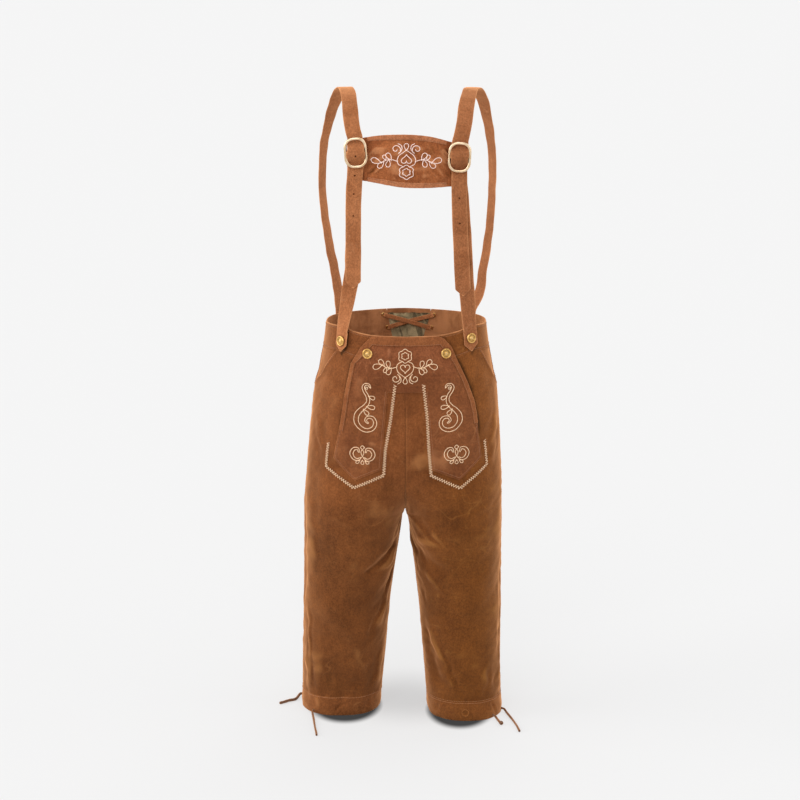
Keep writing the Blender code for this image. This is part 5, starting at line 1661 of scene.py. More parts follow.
def ribbon(name, paint, path, width, thickness, seed, points=(0.0, 0.0), bends=(), cup=0.0,
           swelling=None):
    """A strap along its path, with an optional point of a given length at each end."""
    places, _, across, out, length = strap_frame(path)
    half = np.full(len(places), width / 2)
    if swelling is not None:
        half += swelling(places)
    half *= 1 + 0.02 * waves(length, 0 * length, seed, 0.12, 0.03, 6)
    for pointed, from_end in zip(points, (length, length[-1] - length)):
        if pointed:
            half = np.minimum(half, width / 2 * from_end / pointed + POINT_TIP / 2)
    sway = 0.0005 * waves(length, 0 * length, seed + 5, 0.16, 0.03, 8)
    rows, pale, ridges = [], [], []
    section = [*CROSS_SECTION, *[(u, -v, e) for u, v, e in reversed(CROSS_SECTION)]]
    for index in range(len(places)):
        step = 0.0
        for bend in bends:
            at = (length[index] - bend.place) / bend.reach
            step += bend.depth * math.exp(-at * at)
        ring = []
        for u, v, e in section:
            thick = thickness / 2 * (1 - 0.30 * abs(u) ** 6)
            offset = out[index] * (v * thick + sway[index] + step + cup * (u * u - 0.4))
            ring.append(places[index] + across[index] * u * half[index] + offset)
            pale.append(e)
            # the relief mask: rubbed paler where the strap rises, and painted darker, as shade,
            # where it bends in
            ridges.append(step * 1.2 + sway[index] * 0.6)
        rows.append(ring)
    sides = len(section)
    verts = np.array(rows).reshape(-1, 3)
    faces = []
    for index in range(len(rows) - 1):
        for corner in range(sides):
            a = sides * index + corner
            b = sides * index + (corner + 1) % sides
            faces.append((a, b, b + sides, a + sides))
    faces.append(tuple(range(sides)))
    last = sides * (len(rows) - 1)
    faces.append(tuple(range(last + sides - 1, last - 1, -1)))
    mesh = bpy.data.meshes.new(name)
    mesh.from_pydata(verts.tolist(), [], faces)
    pale, ridges = np.array(pale), np.array(ridges)
    # the two cut ends are pale as well
    from_tips = np.minimum(np.repeat(length, sides), length[-1] - np.repeat(length, sides))
    write_masks(mesh, edge=np.maximum(pale, bell(from_tips, 0.0009)), ridge=ridges)
    shape = bmesh.new()
    shape.from_mesh(mesh)
    bmesh.ops.recalc_face_normals(shape, faces=shape.faces)
    shape.to_mesh(mesh)
    shape.free()
    return finish_mesh(name, mesh, paint, 50)


# %% Holes
def punch(piece, holes, radius):
    """Round holes through a strap, at places and directions."""
    shape = bmesh.new()
    for place, facing in holes:
        turn = Vector(facing).to_track_quat("Z", "Y").to_matrix().to_4x4()
        turn.translation = Vector(place)
        bmesh.ops.create_cone(shape, cap_ends=True, segments=20, radius1=radius, radius2=radius,
                              depth=0.012, matrix=turn)
    bmesh.ops.recalc_face_normals(shape, faces=shape.faces)
    mesh = bpy.data.meshes.new("punch")
    shape.to_mesh(mesh)
    shape.free()
    tool = bpy.data.objects.new("punch", mesh)
    scene.collection.objects.link(tool)
    cut = piece.modifiers.new("punched", "BOOLEAN")
    cut.operation = "DIFFERENCE"
    cut.solver = "EXACT"
    cut.object = tool
    graph = bpy.context.evaluated_depsgraph_get()
    result = bpy.data.meshes.new_from_object(piece.evaluated_get(graph))
    piece.modifiers.clear()
    old = piece.data
    piece.data = result
    bpy.data.meshes.remove(old)
    bpy.data.objects.remove(tool)
    bpy.data.meshes.remove(mesh)


def at_height(path, height):
    """Where a strap's path passes a height in front: its place and its outward direction."""
    places, _, _, out, _ = strap_frame(path)
    gap = np.abs(places[:, 2] + SHOULDER - height)
    index = int(np.argmin(np.where(places[:, 1] < IN_FRONT, gap, 9)))
    return places[index], out[index]


# %% Braces
HOLE_RADIUS = 0.0018
HOLES = {-1: (1.0875, 1.0505, 1.0175, 0.9785), 1: (1.0095, 0.9635)}
STRAP_BENDS = {
    -1: (StrapBend(0.030, 0.010, 0.0006), StrapBend(0.330, 0.012, -0.0008)),
    1: (StrapBend(0.115, 0.006, 0.0009), StrapBend(0.123, 0.005, -0.0007)),
}


def spread(places):
    """The straps are pressed a little wider where they go through the buckles."""
    height = places[:, 2] + SHOULDER
    away = height - BUCKLE_HEIGHT - 0.001
    through = 1 - smooth_step(np.abs(away), 0.014, 0.030)
    over_bar = bell(away, 0.0055)
    return (0.0010 * through + 0.0018 * over_bar) * (places[:, 1] < IN_FRONT)


def hang_strap(strap, node, path):
    long = float(strap_frame(path)[4][-1])
    stands_for(strap, node, (STRAP_WIDTH + 0.001, round(long, 3)))


for side, word, paint in ((-1, "right", BRACE_SUEDE), (1, "left", LEFT_BRACE_SUEDE)):
    path = shoulder_path(side)
    brace = ribbon(
        f"shoulder_leather_{word}", paint, path, STRAP_WIDTH, STRAP, 31 + side,
        (STRAP_POINT, STRAP_POINT), STRAP_BENDS[side], 0.0003, swelling=spread,
    )
    punch(brace, [at_height(path, height) for height in HOLES[side]], HOLE_RADIUS)
    hang_strap(brace, f"shoulder_strap_{word}", path)
    path = front_path(side)
    lower = ribbon(
        f"front_brace_leather_{word}", paint, path, STRAP_WIDTH, STRAP, 51 + side,
        (STRAP_POINT, 0), (), 0.0002, swelling=spread,
    )
    hang_strap(lower, f"front_strap_{word}", path)

# %% [markdown]
# ## Chest piece
#
# The cross-piece joins the two braces. Its field is darker and a little padded, so it puffs
# up between its borders and puckers along the seams. Two paler borders are sewn along its
# lower and upper edges. It is cut like the other leather pieces, but laid on its own bowed
# surface.

# %% Chest piece
ChestRow = namedtuple("ChestRow", "x low high y")
CHEST_PIECE = (
    ChestRow(-0.104, 1.0455, 1.1125, -0.1084),
    ChestRow(-0.072, 1.0402, 1.1182, -0.1085),
    ChestRow(-0.056, 1.0385, 1.1215, -0.1160),
    ChestRow(-0.033, 1.0345, 1.1240, -0.1215),
    ChestRow(-0.005, 1.0305, 1.1248, -0.1238),
    ChestRow(0.018, 1.0295, 1.1240, -0.1238),
    ChestRow(0.043, 1.0295, 1.1210, -0.1210),
    ChestRow(0.063, 1.0300, 1.1160, -0.1155),
    ChestRow(0.080, 1.0304, 1.1104, -0.1086),
    ChestRow(0.108, 1.0340, 1.1040, -0.1084),
)
CHEST_BORDER = 0.009
CHEST_HEIGHT = 0.090
CHEST_MIDDLE = 0.002
PUFF = 0.0017
LUMPS = 0.0009
PUCKER = 0.0007
CORNER_PUCKER = 0.0022
BORDER_SHARE = CHEST_BORDER / CHEST_HEIGHT


def puffed(x, share):
    """The padding's rise, with puckers that run in from the seams and the corners, and how
    far each place is from the borders."""
    u, v = x, share * CHEST_HEIGHT
    from_middle = np.abs(x - CHEST_MIDDLE)
    edge, full = BORDER_SHARE, BORDER_SHARE + 0.16
    body = smooth_step(share, edge, full) * (1 - smooth_step(share, 1 - full, 1 - edge))
    ends = smooth_step(-from_middle, -0.088, -0.060)
    rise = PUFF * body * ends
    rise = rise + body * LUMPS * waves(u, v, 71, 0.05, 0.014, 16)
    near_low, near_high = bell(share, 0.22), bell(1 - share, 0.22)
    pucker = waves(u, v * 0.25, 72, 0.020, 0.007, 14)
    rise = rise + PUCKER * pucker * (near_low + near_high)
    corner = bell(from_middle - 0.070, 0.020)
    slant = np.where(x > 0, 1, -1) * u + 0.9 * v
    rise = rise + CORNER_PUCKER * corner * body * waves(slant, slant * 0, 73, 0.018, 0.009, 6)
    return rise, body


def chest_place(x, share, out):
    """The chest piece's surface: share is 0 on its lower edge and 1 on its upper edge."""
    x, share = np.atleast_1d(x), np.atleast_1d(share)
    low, high, y = (blend(CHEST_PIECE, column, x) for column in ("low", "high", "y"))
    step = 0.001
    slope = blend(CHEST_PIECE, "y", x + step) - blend(CHEST_PIECE, "y", x - step)
    slope = slope / (2 * step)
    normal = np.stack([slope, -np.ones_like(slope), 0 * slope], -1)
    normal /= np.linalg.norm(normal, axis=1)[:, None]
    rise, body = puffed(x, share)
    place = np.stack([x, y, low + (high - low) * share - SHOULDER], -1)
    # the second value is the relief mask: the puffs are rubbed paler, and the hollows between them
    # are painted darker, as shade
    return place + normal * (np.asarray(out) + rise)[:, None], 2.0 * body * (rise - 0.0014)


def cut_chest_piece(name, paint, low_share, high_share, ends, inner, outer, edging):
    """Cuts in metres: across is x, and level is the share times the piece's height."""
    columns = np.linspace(*ends, 25)
    outline = [(x, low_share * CHEST_HEIGHT) for x in columns]
    outline += [(x, high_share * CHEST_HEIGHT) for x in columns[::-1]]
    return cut_piece(
        name, paint, lambda x, v, out: chest_place(x, v / CHEST_HEIGHT, out), outline, 0.0017,
        inner, outer, edging, None, 1.0,
    )


chest = cut_chest_piece("chest_leather", CHEST_SUEDE, 0, 1, (-0.104, 0.108), -STRAP, 0, rounded)
stands_for(chest, "chest_piece", (0.216, 0.095))
for word, low, high in (("lower", 0, BORDER_SHARE), ("upper", 1 - BORDER_SHARE, 1)):
    border = cut_chest_piece(
        f"chest_border_leather_{word}", BORDER_SUEDE, low, high, (-0.0687, 0.0727),
        SEAM, SEAM + TRIM, rounded,
    )
    stands_for(border, f"chest_border_{word}", (0.145, 0.011))

# %% [markdown]
# ## Metal
#
# Buckles of cast brass, eyelets and turned buttons. They are small and rigid, so they are
# made exactly: the buckle's ring is a round bar swept along a rounded loop, and each button
# is a profile turned round its axis, with rings engraved in the rim and a small rosette.

# %% Metal finishes
DIRT = srgb(92, 60, 28)
# A painted highlight: the pale disc in the middle of each button
PAINTED_HIGHLIGHT = srgb(206, 176, 140)


def metal(name, colour, worn, roughness, scratch=90.0):
    """Metal with clouds of wear. Its mask of dirt is negative where a pale highlight is painted."""
    made, tree, shader = new_material(name, roughness, Metallic=1.0)
    place = object_place(tree)
    cloud = ramp(tree, noise(tree, place, scratch, 4.0, 0.8, 0.6), 0.36, 0.66)
    dirt_and_highlight = mesh_mask(tree, "dirt_and_highlight")
    tone_and_painted_light = mix_colour(tree, cloud, colour, worn)
    # the painted highlight, where the mask of dirt is negative
    tone_and_painted_light = mix_colour(tree, ramp(tree, dirt_and_highlight, -0.2, -0.8, 0.0, 1.0), tone_and_painted_light, PAINTED_HIGHLIGHT)
    tree.links.new(mix_colour(tree, dirt_and_highlight, tone_and_painted_light, DIRT), shader.inputs["Base Color"])
    fine = noise(tree, place, 600.0, 3.0, 0.2, 0.6)
    rough = ramp(tree, fine, 0.3, 0.7, roughness * 0.8, roughness * 1.3)
    tree.links.new(rough, shader.inputs["Roughness"])
    add_bump(tree, shader, fine, 0.15, 0.0002)
    return made


BRASS = metal("champagne brass", srgb(214, 184, 146), srgb(236, 212, 180), 0.24)
GILT = metal("gilt eyelet", srgb(196, 150, 84), srgb(224, 186, 120), 0.30)
BUTTON_GILT = metal("antique gilt", srgb(196, 148, 78), srgb(234, 194, 124), 0.34, 260.0)

# %% Buckles
BuckleCorner = namedtuple("BuckleCorner", "x z radius")
BUCKLE_CORNERS = (
    BuckleCorner(0.0180, 0.0248, 0.0145),
    BuckleCorner(-0.0178, 0.0248, 0.0150),
    BuckleCorner(-0.0184, -0.0248, 0.0150),
    BuckleCorner(0.0179, -0.0248, 0.0150),
)
BAR_LENGTH = 0.0330
BUCKLE_TURN = {-1: -5, 1: 3}
RING_SIDES = 20


LOOP_STEP = 0.003


def rounded_loop(corners, steps):
    """A closed loop through rounded corners, evenly spaced."""
    loop = []
    for index, corner in enumerate(corners):
        here = Vector((corner.x, corner.z))
        before = Vector((corners[index - 1].x, corners[index - 1].z))
        following = corners[(index + 1) % len(corners)]
        after = Vector((following.x, following.z))
        inward, outward = (before - here).normalized(), (after - here).normalized()
        bend = inward.angle(outward) / 2
        centre = here + (inward + outward).normalized() * (corner.radius / math.sin(bend))
        start = here + inward * (corner.radius / math.tan(bend)) - centre
        sweep = math.pi - 2 * bend
        for step in range(steps + 1):
            angle = sweep * step / steps
            turned_spot = Vector((
                start.x * math.cos(angle) - start.y * math.sin(angle),
                start.x * math.sin(angle) + start.y * math.cos(angle),
            ))
            loop.append(centre + turned_spot)
    dense = []
    for a, b in zip(loop, loop[1:] + loop[:1]):
        count = max(int(round((b - a).length / LOOP_STEP)), 1)
        dense += [a.lerp(b, k / count) for k in range(count)]
    return dense


# %% Cast the buckles
def join_rings(shape, rings, closed):
    """Walls between rings of points, and a cap on each end of an open row of rings."""
    if not closed:
        shape.faces.new(rings[0])
        shape.faces.new(rings[-1])
    for ring, after in zip(rings, rings[1:] + rings[:1] if closed else rings[1:]):
        for index in range(len(ring)):
            beside = (index + 1) % len(ring)
            shape.faces.new((ring[index], ring[beside], after[beside], after[index]))


def make_buckle(side):
    """A ring of round bar with a cross bar, whose ends swell into the ring."""
    loop = rounded_loop(BUCKLE_CORNERS, 10)
    shape = bmesh.new()
    ring_rows, bar_rows = [], []
    for index, place in enumerate(loop):
        tangent = (loop[(index + 1) % len(loop)] - loop[index - 1]).normalized()
        outward = Vector((tangent.y, -tangent.x))
        ring = []
        for corner in range(RING_SIDES):
            angle = 2 * math.pi * (corner + 0.5) / RING_SIDES
            across, deep = math.cos(angle) * RIM, math.sin(angle) * RIM
            spot = (place.x + outward.x * across, deep * 0.96, place.y + outward.y * across)
            ring.append(shape.verts.new(spot))
        ring_rows.append(ring)
    for share in np.linspace(-1, 1, 15):
        thick = BAR * (1 + 0.35 * smooth_step(abs(share), 0.75, 1.0))
        angles = [2 * math.pi * corner / RING_SIDES for corner in range(RING_SIDES)]
        bar_rows.append([
            shape.verts.new((share * BAR_LENGTH / 2, math.cos(a) * thick, math.sin(a) * thick))
            for a in angles
        ])
    join_rings(shape, ring_rows, True)
    join_rings(shape, bar_rows, False)
    bmesh.ops.recalc_face_normals(shape, faces=shape.faces)
    # the cross bar stays level with the strap that goes over it
    turn = Euler((0, math.radians(BUCKLE_TURN[side]), 0)).to_matrix().to_4x4()
    ring_verts = [vert for ring in ring_rows for vert in ring]
    bmesh.ops.transform(shape, matrix=turn, verts=ring_verts)
    shift = Matrix.Translation(Vector(buckle_centre(side)))
    bmesh.ops.transform(shape, matrix=shift, verts=shape.verts)
    return shape


def finish_shape(name, shape, paint):
    mesh = bpy.data.meshes.new(name)
    shape.to_mesh(mesh)
    shape.free()
    return finish_mesh(name, mesh, paint, 40)


for side, word in ((-1, "right"), (1, "left")):
    buckle = finish_shape(f"cast_buckle_{word}", make_buckle(side), BRASS)
    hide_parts(f"buckle_{word}")

# %% Buttons
Ring = namedtuple("Ring", "radius rise")
BUTTON_RINGS = (
    Ring(0.0088, 0.0000), Ring(0.0094, 0.0005), Ring(0.0096, 0.0013), Ring(0.0095, 0.0019),
    Ring(0.0091, 0.0026), Ring(0.0086, 0.0029), Ring(0.0083, 0.0027), Ring(0.0080, 0.0027),
    Ring(0.0077, 0.0030), Ring(0.0073, 0.0031), Ring(0.0069, 0.0029), Ring(0.0066, 0.0024),
    Ring(0.0062, 0.0021), Ring(0.0056, 0.0020), Ring(0.0051, 0.0021), Ring(0.0048, 0.0024),
    Ring(0.0045, 0.0024), Ring(0.0042, 0.0021), Ring(0.0037, 0.0019), Ring(0.0031, 0.0020),
    Ring(0.0024, 0.0026), Ring(0.0016, 0.0030), Ring(0.0008, 0.0032),
)
PETALS = 6
PETAL_RISE = 0.00038
BEADS = 24
BEAD_RISE = 0.00022


def carved(radius, angle):
    """How far a button's face rises: beads round its rim and petals in its middle."""
    beads = BEAD_RISE * math.cos(BEADS * angle) * bell(radius - 0.0086, 0.0007)
    petal = 0.5 + 0.5 * math.cos(PETALS * angle)
    return beads + PETAL_RISE * petal**0.6 * bell(radius - 0.0027, 0.0013)


def face_frame(side, girth, level, out):
    """A place on the panels and the direction its face looks in, across a button's width."""
    step = 0.006
    reach = step / GIRTH_SCALE
    shifts = ((0, 0, 0), (-reach, 0, 0), (reach, 0, 0), (0, -step, 0), (0, step, 0), (0, 0, step))
    place, left, right, low, high, raised = (
        leather(side, girth + a, level + b, out + c)[0][0] for a, b, c in shifts
    )
    normal = np.cross(right - left, high - low)
    normal /= np.linalg.norm(normal)
    return place, normal if normal @ (raised - place) > 0 else -normal


def grime_and_highlight(radius):
    """The grooves of a button's face hold old dirt, its outer side is darker, and a pale highlight
    is painted on its middle.
    """
    if radius < 0.0012:
        return -1.0
    groove = 0.80 * bell(radius - 0.0059, 0.0009)
    middle = 0.75 * bell(radius - 0.0037, 0.0005)
    return min(groove + middle + 0.5 * (radius > 0.0093), 1.0)


def rubbed_rim_and_shade(radius):
    """The leather over a snap is pale where it bends, and painted darker, as shade, round its foot
    and in its sunken middle.
    """
    if radius > 0.0080:
        return -SHADE_DEPTH
    return 0.0026 * bell(radius - 0.0068, 0.0009) - 0.003 * (radius < 0.0052)


# %% Turned pieces
def turned_piece(rings, segments, closed, place, facing, relief=None, turn=0.0,
                 stain=("dirt_and_highlight", None)):
    """A piece turned round an axis: a closed profile makes a ring, an open one a disc. The
    stain is an attribute for its material, as a function of the radius."""
    shape = bmesh.new()
    label, amount = stain
    layer = shape.verts.layers.float.new(label)
    rows = []
    for row in rings:
        ring = []
        for index in range(segments):
            angle = 2 * math.pi * index / segments
            rise = row.rise + (relief(row.radius, angle) if relief and row.rise > 0.0015 else 0)
            spot = (row.radius * math.cos(angle), row.radius * math.sin(angle), rise)
            ring.append(shape.verts.new(spot))
            ring[-1][layer] = amount(row.radius) if amount else 0.0
        rows.append(ring)
    join_rings(shape, rows, closed)
    bmesh.ops.recalc_face_normals(shape, faces=shape.faces)
    frame = Vector(facing).to_track_quat("Z", "Y").to_matrix().to_4x4()
    frame.translation = Vector(place)
    spin = Matrix.Rotation(turn, 4, "Z")
    bmesh.ops.transform(shape, matrix=frame @ spin, verts=shape.verts)
    return shape


# %% Place the buttons
FLAP_BUTTON_X = {-1: 0.068, 1: 0.0725}
FLAP_BUTTON_LEVEL = 0.7325
SHANK = 0.0005


def tab_button(side, tab):
    """Where a tab's button stands, and where it looks."""
    place, facing = face_frame(side, tab.girth, tab.button_level, tab.gap + STRAP / 2)
    facing = tab_turn(side, tab) @ facing
    return place + facing * (STRAP / 2 + 2 * SEAM), facing


def flap_button(side):
    across = float(across_at(side * FLAP_BUTTON_X[side], FLAP_BUTTON_LEVEL))
    out = EDGING_OUT + TRIM + SEAM + SHANK
    return face_frame(side, 1 - abs(across), FLAP_BUTTON_LEVEL, out)


for side, word in ((-1, "right"), (1, "left")):
    for node, (place, facing) in (
        (f"tab_button_front_{word}", tab_button(side, FRONT_TABS[side])),
        (f"tab_button_back_{word}", tab_button(side, BACK_TABS[side])),
        (f"drop_front_button_{word}", flap_button(side)),
    ):
        turned = turned_piece(
            BUTTON_RINGS, 72, False, place, facing, carved, 9 * place[0], ("dirt_and_highlight", grime_and_highlight)
        )
        button = finish_shape(f"engraved_{node}", turned, BUTTON_GILT)
        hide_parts(node)

# %% Eyelets and back lace
Eyelet = namedtuple("Eyelet", "word side girth level")
EYELETS = (
    Eyelet("upper_right", -1, 0.805, 0.7545),
    Eyelet("lower_right", -1, 0.845, 0.7290),
    Eyelet("upper_left", 1, 0.742, 0.7545),
    Eyelet("lower_left", 1, 0.772, 0.7290),
)
EYELET_RINGS = (
    Ring(0.0021, 0.0000), Ring(0.0044, 0.0000), Ring(0.0044, 0.0003), Ring(0.0041, 0.0007),
    Ring(0.0035, 0.0010), Ring(0.0029, 0.0009), Ring(0.0024, 0.0006), Ring(0.0021, 0.0002),
)
EYELET_GAP = 0.0005
LACE_WIDTH = 0.0080
LACE = 0.0014
LACE_LIFT = 0.0032
CROSSING_LIFT = 0.0029

for eyelet in EYELETS:
    for word, out, turn in (
        ("inside", -LEATHER - EYELET_GAP, -1), ("outside", BAND_PROUD + EYELET_GAP, 1)
    ):
        place, facing = face_frame(eyelet.side, -eyelet.girth, eyelet.level, out)
        node = f"eyelet_{eyelet.word}_{word}"
        turned = turned_piece(EYELET_RINGS, 28, True, place, facing * turn)
        ring = finish_shape(f"gilt_{node}", turned, GILT)
        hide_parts(node)
for node, first, last, depth in (
    ("back_lace_under", EYELETS[1], EYELETS[2], 0.0),
    ("back_lace_over", EYELETS[0], EYELETS[3], CROSSING_LIFT),
):
    start = first.side * (1 - first.girth)
    stop = last.side * (1 - last.girth)
    share = np.linspace(0, 1, 40)
    across = start + (stop - start) * share
    level = first.level + (last.level - first.level) * share
    lift = LACE_LIFT + depth * np.sin(math.pi * share)
    places = back(across, level, -LEATHER - lift)[0]
    path = np.hstack([places, np.tile((0.0, 0.0, 1.0), (len(places), 1))])
    lace = ribbon(f"{node}_suede", BRACE_SUEDE, path, LACE_WIDTH, LACE, 61 + len(node))
    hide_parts(node)
    long = strap_frame(path)[4][-1]
    print(f"{node}: {long * 1000:.0f} mm between its eyelets")

# %% Snap
SNAP_GIRTH = 0.50
SNAP_LEVEL = 0.017
SNAP_GAP = 0.0008
SNAP_RINGS = (
    Ring(0.0078, 0.0000), Ring(0.0082, 0.0004), Ring(0.0082, 0.0010), Ring(0.0077, 0.0014),
    Ring(0.0070, 0.0016), Ring(0.0062, 0.0014), Ring(0.0055, 0.0010), Ring(0.0049, 0.0007),
    Ring(0.0038, 0.0006), Ring(0.0020, 0.0007),
)
place, facing = face_frame(1, SNAP_GIRTH, SNAP_LEVEL, CUFF_PROUD + SNAP_GAP)
turned = turned_piece(SNAP_RINGS, 48, False, place, facing, stain=("ridge", rubbed_rim_and_shade))
snap = finish_shape("covered_snap", turned, CUFF_SUEDE)
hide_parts("cuff_snap")

# %% [markdown]
# ## Stitches
#
# A sewn line is the same small stitch hundreds of times, so Geometry Nodes make it. The
# guide is a plain mesh of edges that lies on the leather, and each of its points carries
# the direction that the leather looks in. The tree measures off the stitch length along it
# and sets one arched piece of thread on each mark. A zigzag is a thread that steps from
# side to side, so there every second stitch leans the other way. The tree ends as a plain
# mesh, because the finished part holds no instances.


# %% Tree helpers
def new_tree(name, sizes):
    """A Geometry Nodes tree with a geometry, a paint and named sizes as inputs."""
    tree = bpy.data.node_groups.new(name, "GeometryNodeTree")
    tree.is_modifier = True
    tree.interface.new_socket("Geometry", in_out="INPUT", socket_type="NodeSocketGeometry")
    tree.interface.new_socket("Geometry", in_out="OUTPUT", socket_type="NodeSocketGeometry")
    for label, value in sizes:
        socket = tree.interface.new_socket(label, in_out="INPUT", socket_type="NodeSocketFloat")
        socket.default_value = value
    tree.interface.new_socket("Paint", in_out="INPUT", socket_type="NodeSocketMaterial")
    given = tree.nodes.new("NodeGroupInput").outputs
    return tree, given


def end_tree(tree, given, geometry):
    """Realises the instances, smooths and paints them, and hands them on."""
    real = add_node(tree, "GeometryNodeRealizeInstances", {"Geometry": geometry})
    soft = add_node(tree, "GeometryNodeSetShadeSmooth", {"Geometry": real.outputs[0]})
    painted = add_node(
        tree, "GeometryNodeSetMaterial", {"Geometry": soft.outputs[0], "Material": given["Paint"]}
    )
    out = tree.nodes.new("NodeGroupOutput")
    tree.links.new(painted.outputs[0], out.inputs["Geometry"])
    return tree


def marked_off(tree, given, spacing):
    """The guide as curves with a point every so often, its tangent and its normal."""
    curve = add_node(tree, "GeometryNodeMeshToCurve", {"Mesh": given["Geometry"]}).outputs[0]
    even = add_node(
        tree, "GeometryNodeResampleCurve", {"Curve": curve, "Length": spacing}, mode="LENGTH"
    ).outputs[0]
    tangent = tree.nodes.new("GeometryNodeInputTangent").outputs[0]
    normal = add_node(
        tree, "GeometryNodeInputNamedAttribute", {"Name": "looks_towards"},
        data_type="FLOAT_VECTOR",
    ).outputs["Attribute"]
    return even, tangent, normal


# %% Stitch tree
def make_stitch_tree():
    """One arched stitch for each pitch of the guide. Slant turns it, as in stem stitch, and
    Alternate turns every second stitch the other way, which gives a zigzag."""
    tree, given = new_tree(
        "stitch_row",
        (("Pitch", 0.003), ("Length", 0.0024), ("Thread", 0.0004), ("Arch", 0.0005),
         ("Slant", 0.0), ("Alternate", 0.0), ("Unevenness", 0.1)),
    )
    even, tangent, normal = marked_off(tree, given, given["Pitch"])
    half = calculate(tree, "MULTIPLY", given["Length"], 0.5)
    minus = calculate(tree, "MULTIPLY", given["Length"], -0.5)
    sunk = calculate(tree, "MULTIPLY", given["Thread"], -0.6)
    start = add_node(tree, "ShaderNodeCombineXYZ", {"X": minus, "Z": sunk}).outputs[0]
    top = add_node(
        tree, "ShaderNodeCombineXYZ", {"Z": calculate(tree, "MULTIPLY", given["Arch"], 2.0)}
    ).outputs[0]
    stop = add_node(tree, "ShaderNodeCombineXYZ", {"X": half, "Z": sunk}).outputs[0]
    arc = add_node(
        tree, "GeometryNodeCurveQuadraticBezier",
        {"Resolution": 4, "Start": start, "Middle": top, "End": stop},
    ).outputs[0]
    section = add_node(
        tree, "GeometryNodeCurvePrimitiveCircle", {"Resolution": 5, "Radius": given["Thread"]}
    ).outputs[0]
    thread = add_node(
        tree, "GeometryNodeCurveToMesh", {"Curve": arc, "Profile Curve": section}
    ).outputs[0]
    along = add_node(
        tree, "FunctionNodeAxesToRotation", {"Primary Axis": normal, "Secondary Axis": tangent},
        primary_axis="Z", secondary_axis="X",
    ).outputs[0]
    chance = add_node(
        tree, "FunctionNodeRandomValue", {2: -1.0, 3: 1.0, "Seed": 7}, data_type="FLOAT"
    ).outputs[1]
    wobble = calculate(tree, "MULTIPLY", chance, given["Unevenness"])
    odd = calculate(tree, "MODULO", tree.nodes.new("GeometryNodeInputIndex").outputs[0], 2.0)
    flip = calculate(tree, "MULTIPLY", calculate(tree, "MULTIPLY", odd, 2.0), given["Alternate"])
    slant = calculate(tree, "MULTIPLY", given["Slant"], calculate(tree, "SUBTRACT", 1.0, flip))
    angle = calculate(tree, "ADD", slant, wobble)
    twist = add_node(tree, "ShaderNodeCombineXYZ", {"Z": angle}).outputs[0]
    twist = add_node(tree, "FunctionNodeEulerToRotation", {0: twist}).outputs[0]
    turned = add_node(
        tree, "FunctionNodeRotateRotation", {"Rotation": along, "Rotate By": twist},
        rotation_space="LOCAL",
    ).outputs[0]
    placed = add_node(
        tree, "GeometryNodeInstanceOnPoints",
        {"Points": even, "Instance": thread, "Rotation": turned},
    ).outputs[0]
    return end_tree(tree, given, placed)


STITCH_TREE = make_stitch_tree()
print("tree:", STITCH_TREE.name, len(STITCH_TREE.nodes), "nodes")


# %% Thread
STRAND_SCALE = 1900.0


def make_thread(name, dark, light):
    """Spun thread: short stripes of light and shade, and a soft sheen."""
    made, tree, shader = new_material(name, 0.75, Sheen_Weight=0.2, Specular_IOR_Level=0.3)
    strands = noise(tree, object_place(tree), STRAND_SCALE, 2.0, 0.4, 0.6)
    strands = ramp(tree, strands, 0.34, 0.62)
    tree.links.new(mix_colour(tree, strands, dark, light), shader.inputs["Base Color"])
    add_bump(tree, shader, strands, 0.4, 0.0002)
    return made


CREAM_THREAD = make_thread("cream thread", srgb(214, 164, 120), srgb(255, 230, 194))
ROSE_THREAD = make_thread("pale rose thread", srgb(226, 182, 164), srgb(255, 238, 230))
BROWN_THREAD = make_thread("brown thread", srgb(116, 68, 38), srgb(162, 108, 70))
TAN_THREAD = make_thread("tan thread", srgb(134, 84, 46), srgb(174, 118, 74))
print("threads: cream, pale rose, brown and tan")

# %% Kinds of stitch
# Each kind is a thread and the sizes for the tree's inputs
StitchKind = namedtuple("StitchKind", "paint sizes")
TOPSTITCH = StitchKind(
    BROWN_THREAD,
    {"Pitch": 0.0033, "Length": 0.0028, "Thread": 0.00034, "Arch": 0.0004, "Slant": 0.0,
     "Alternate": 0.0, "Unevenness": 0.05},
)
PALE_TOPSTITCH = TOPSTITCH._replace(paint=TAN_THREAD)
EMBROIDERY = StitchKind(
    CREAM_THREAD,
    {"Pitch": 0.0017, "Length": 0.0030, "Thread": 0.00044, "Arch": 0.0006, "Slant": 0.26,
     "Alternate": 0.0, "Unevenness": 0.10},
)
CHEST_SIZES = {"Pitch": 0.0015, "Length": 0.0028, "Thread": 0.00052}
CHEST_EMBROIDERY = StitchKind(ROSE_THREAD, {**EMBROIDERY.sizes, **CHEST_SIZES})
ZIGZAG_STEP, ZIGZAG_WIDTH = 0.0024, 0.0057
ZIGZAG_SIZES = {
    "Pitch": ZIGZAG_STEP, "Length": math.hypot(ZIGZAG_STEP, ZIGZAG_WIDTH), "Thread": 0.00048,
    "Slant": math.atan2(ZIGZAG_WIDTH, ZIGZAG_STEP), "Alternate": 1.0, "Unevenness": 0.04,
}
ZIGZAG = StitchKind(CREAM_THREAD, {**EMBROIDERY.sizes, **ZIGZAG_SIZES})


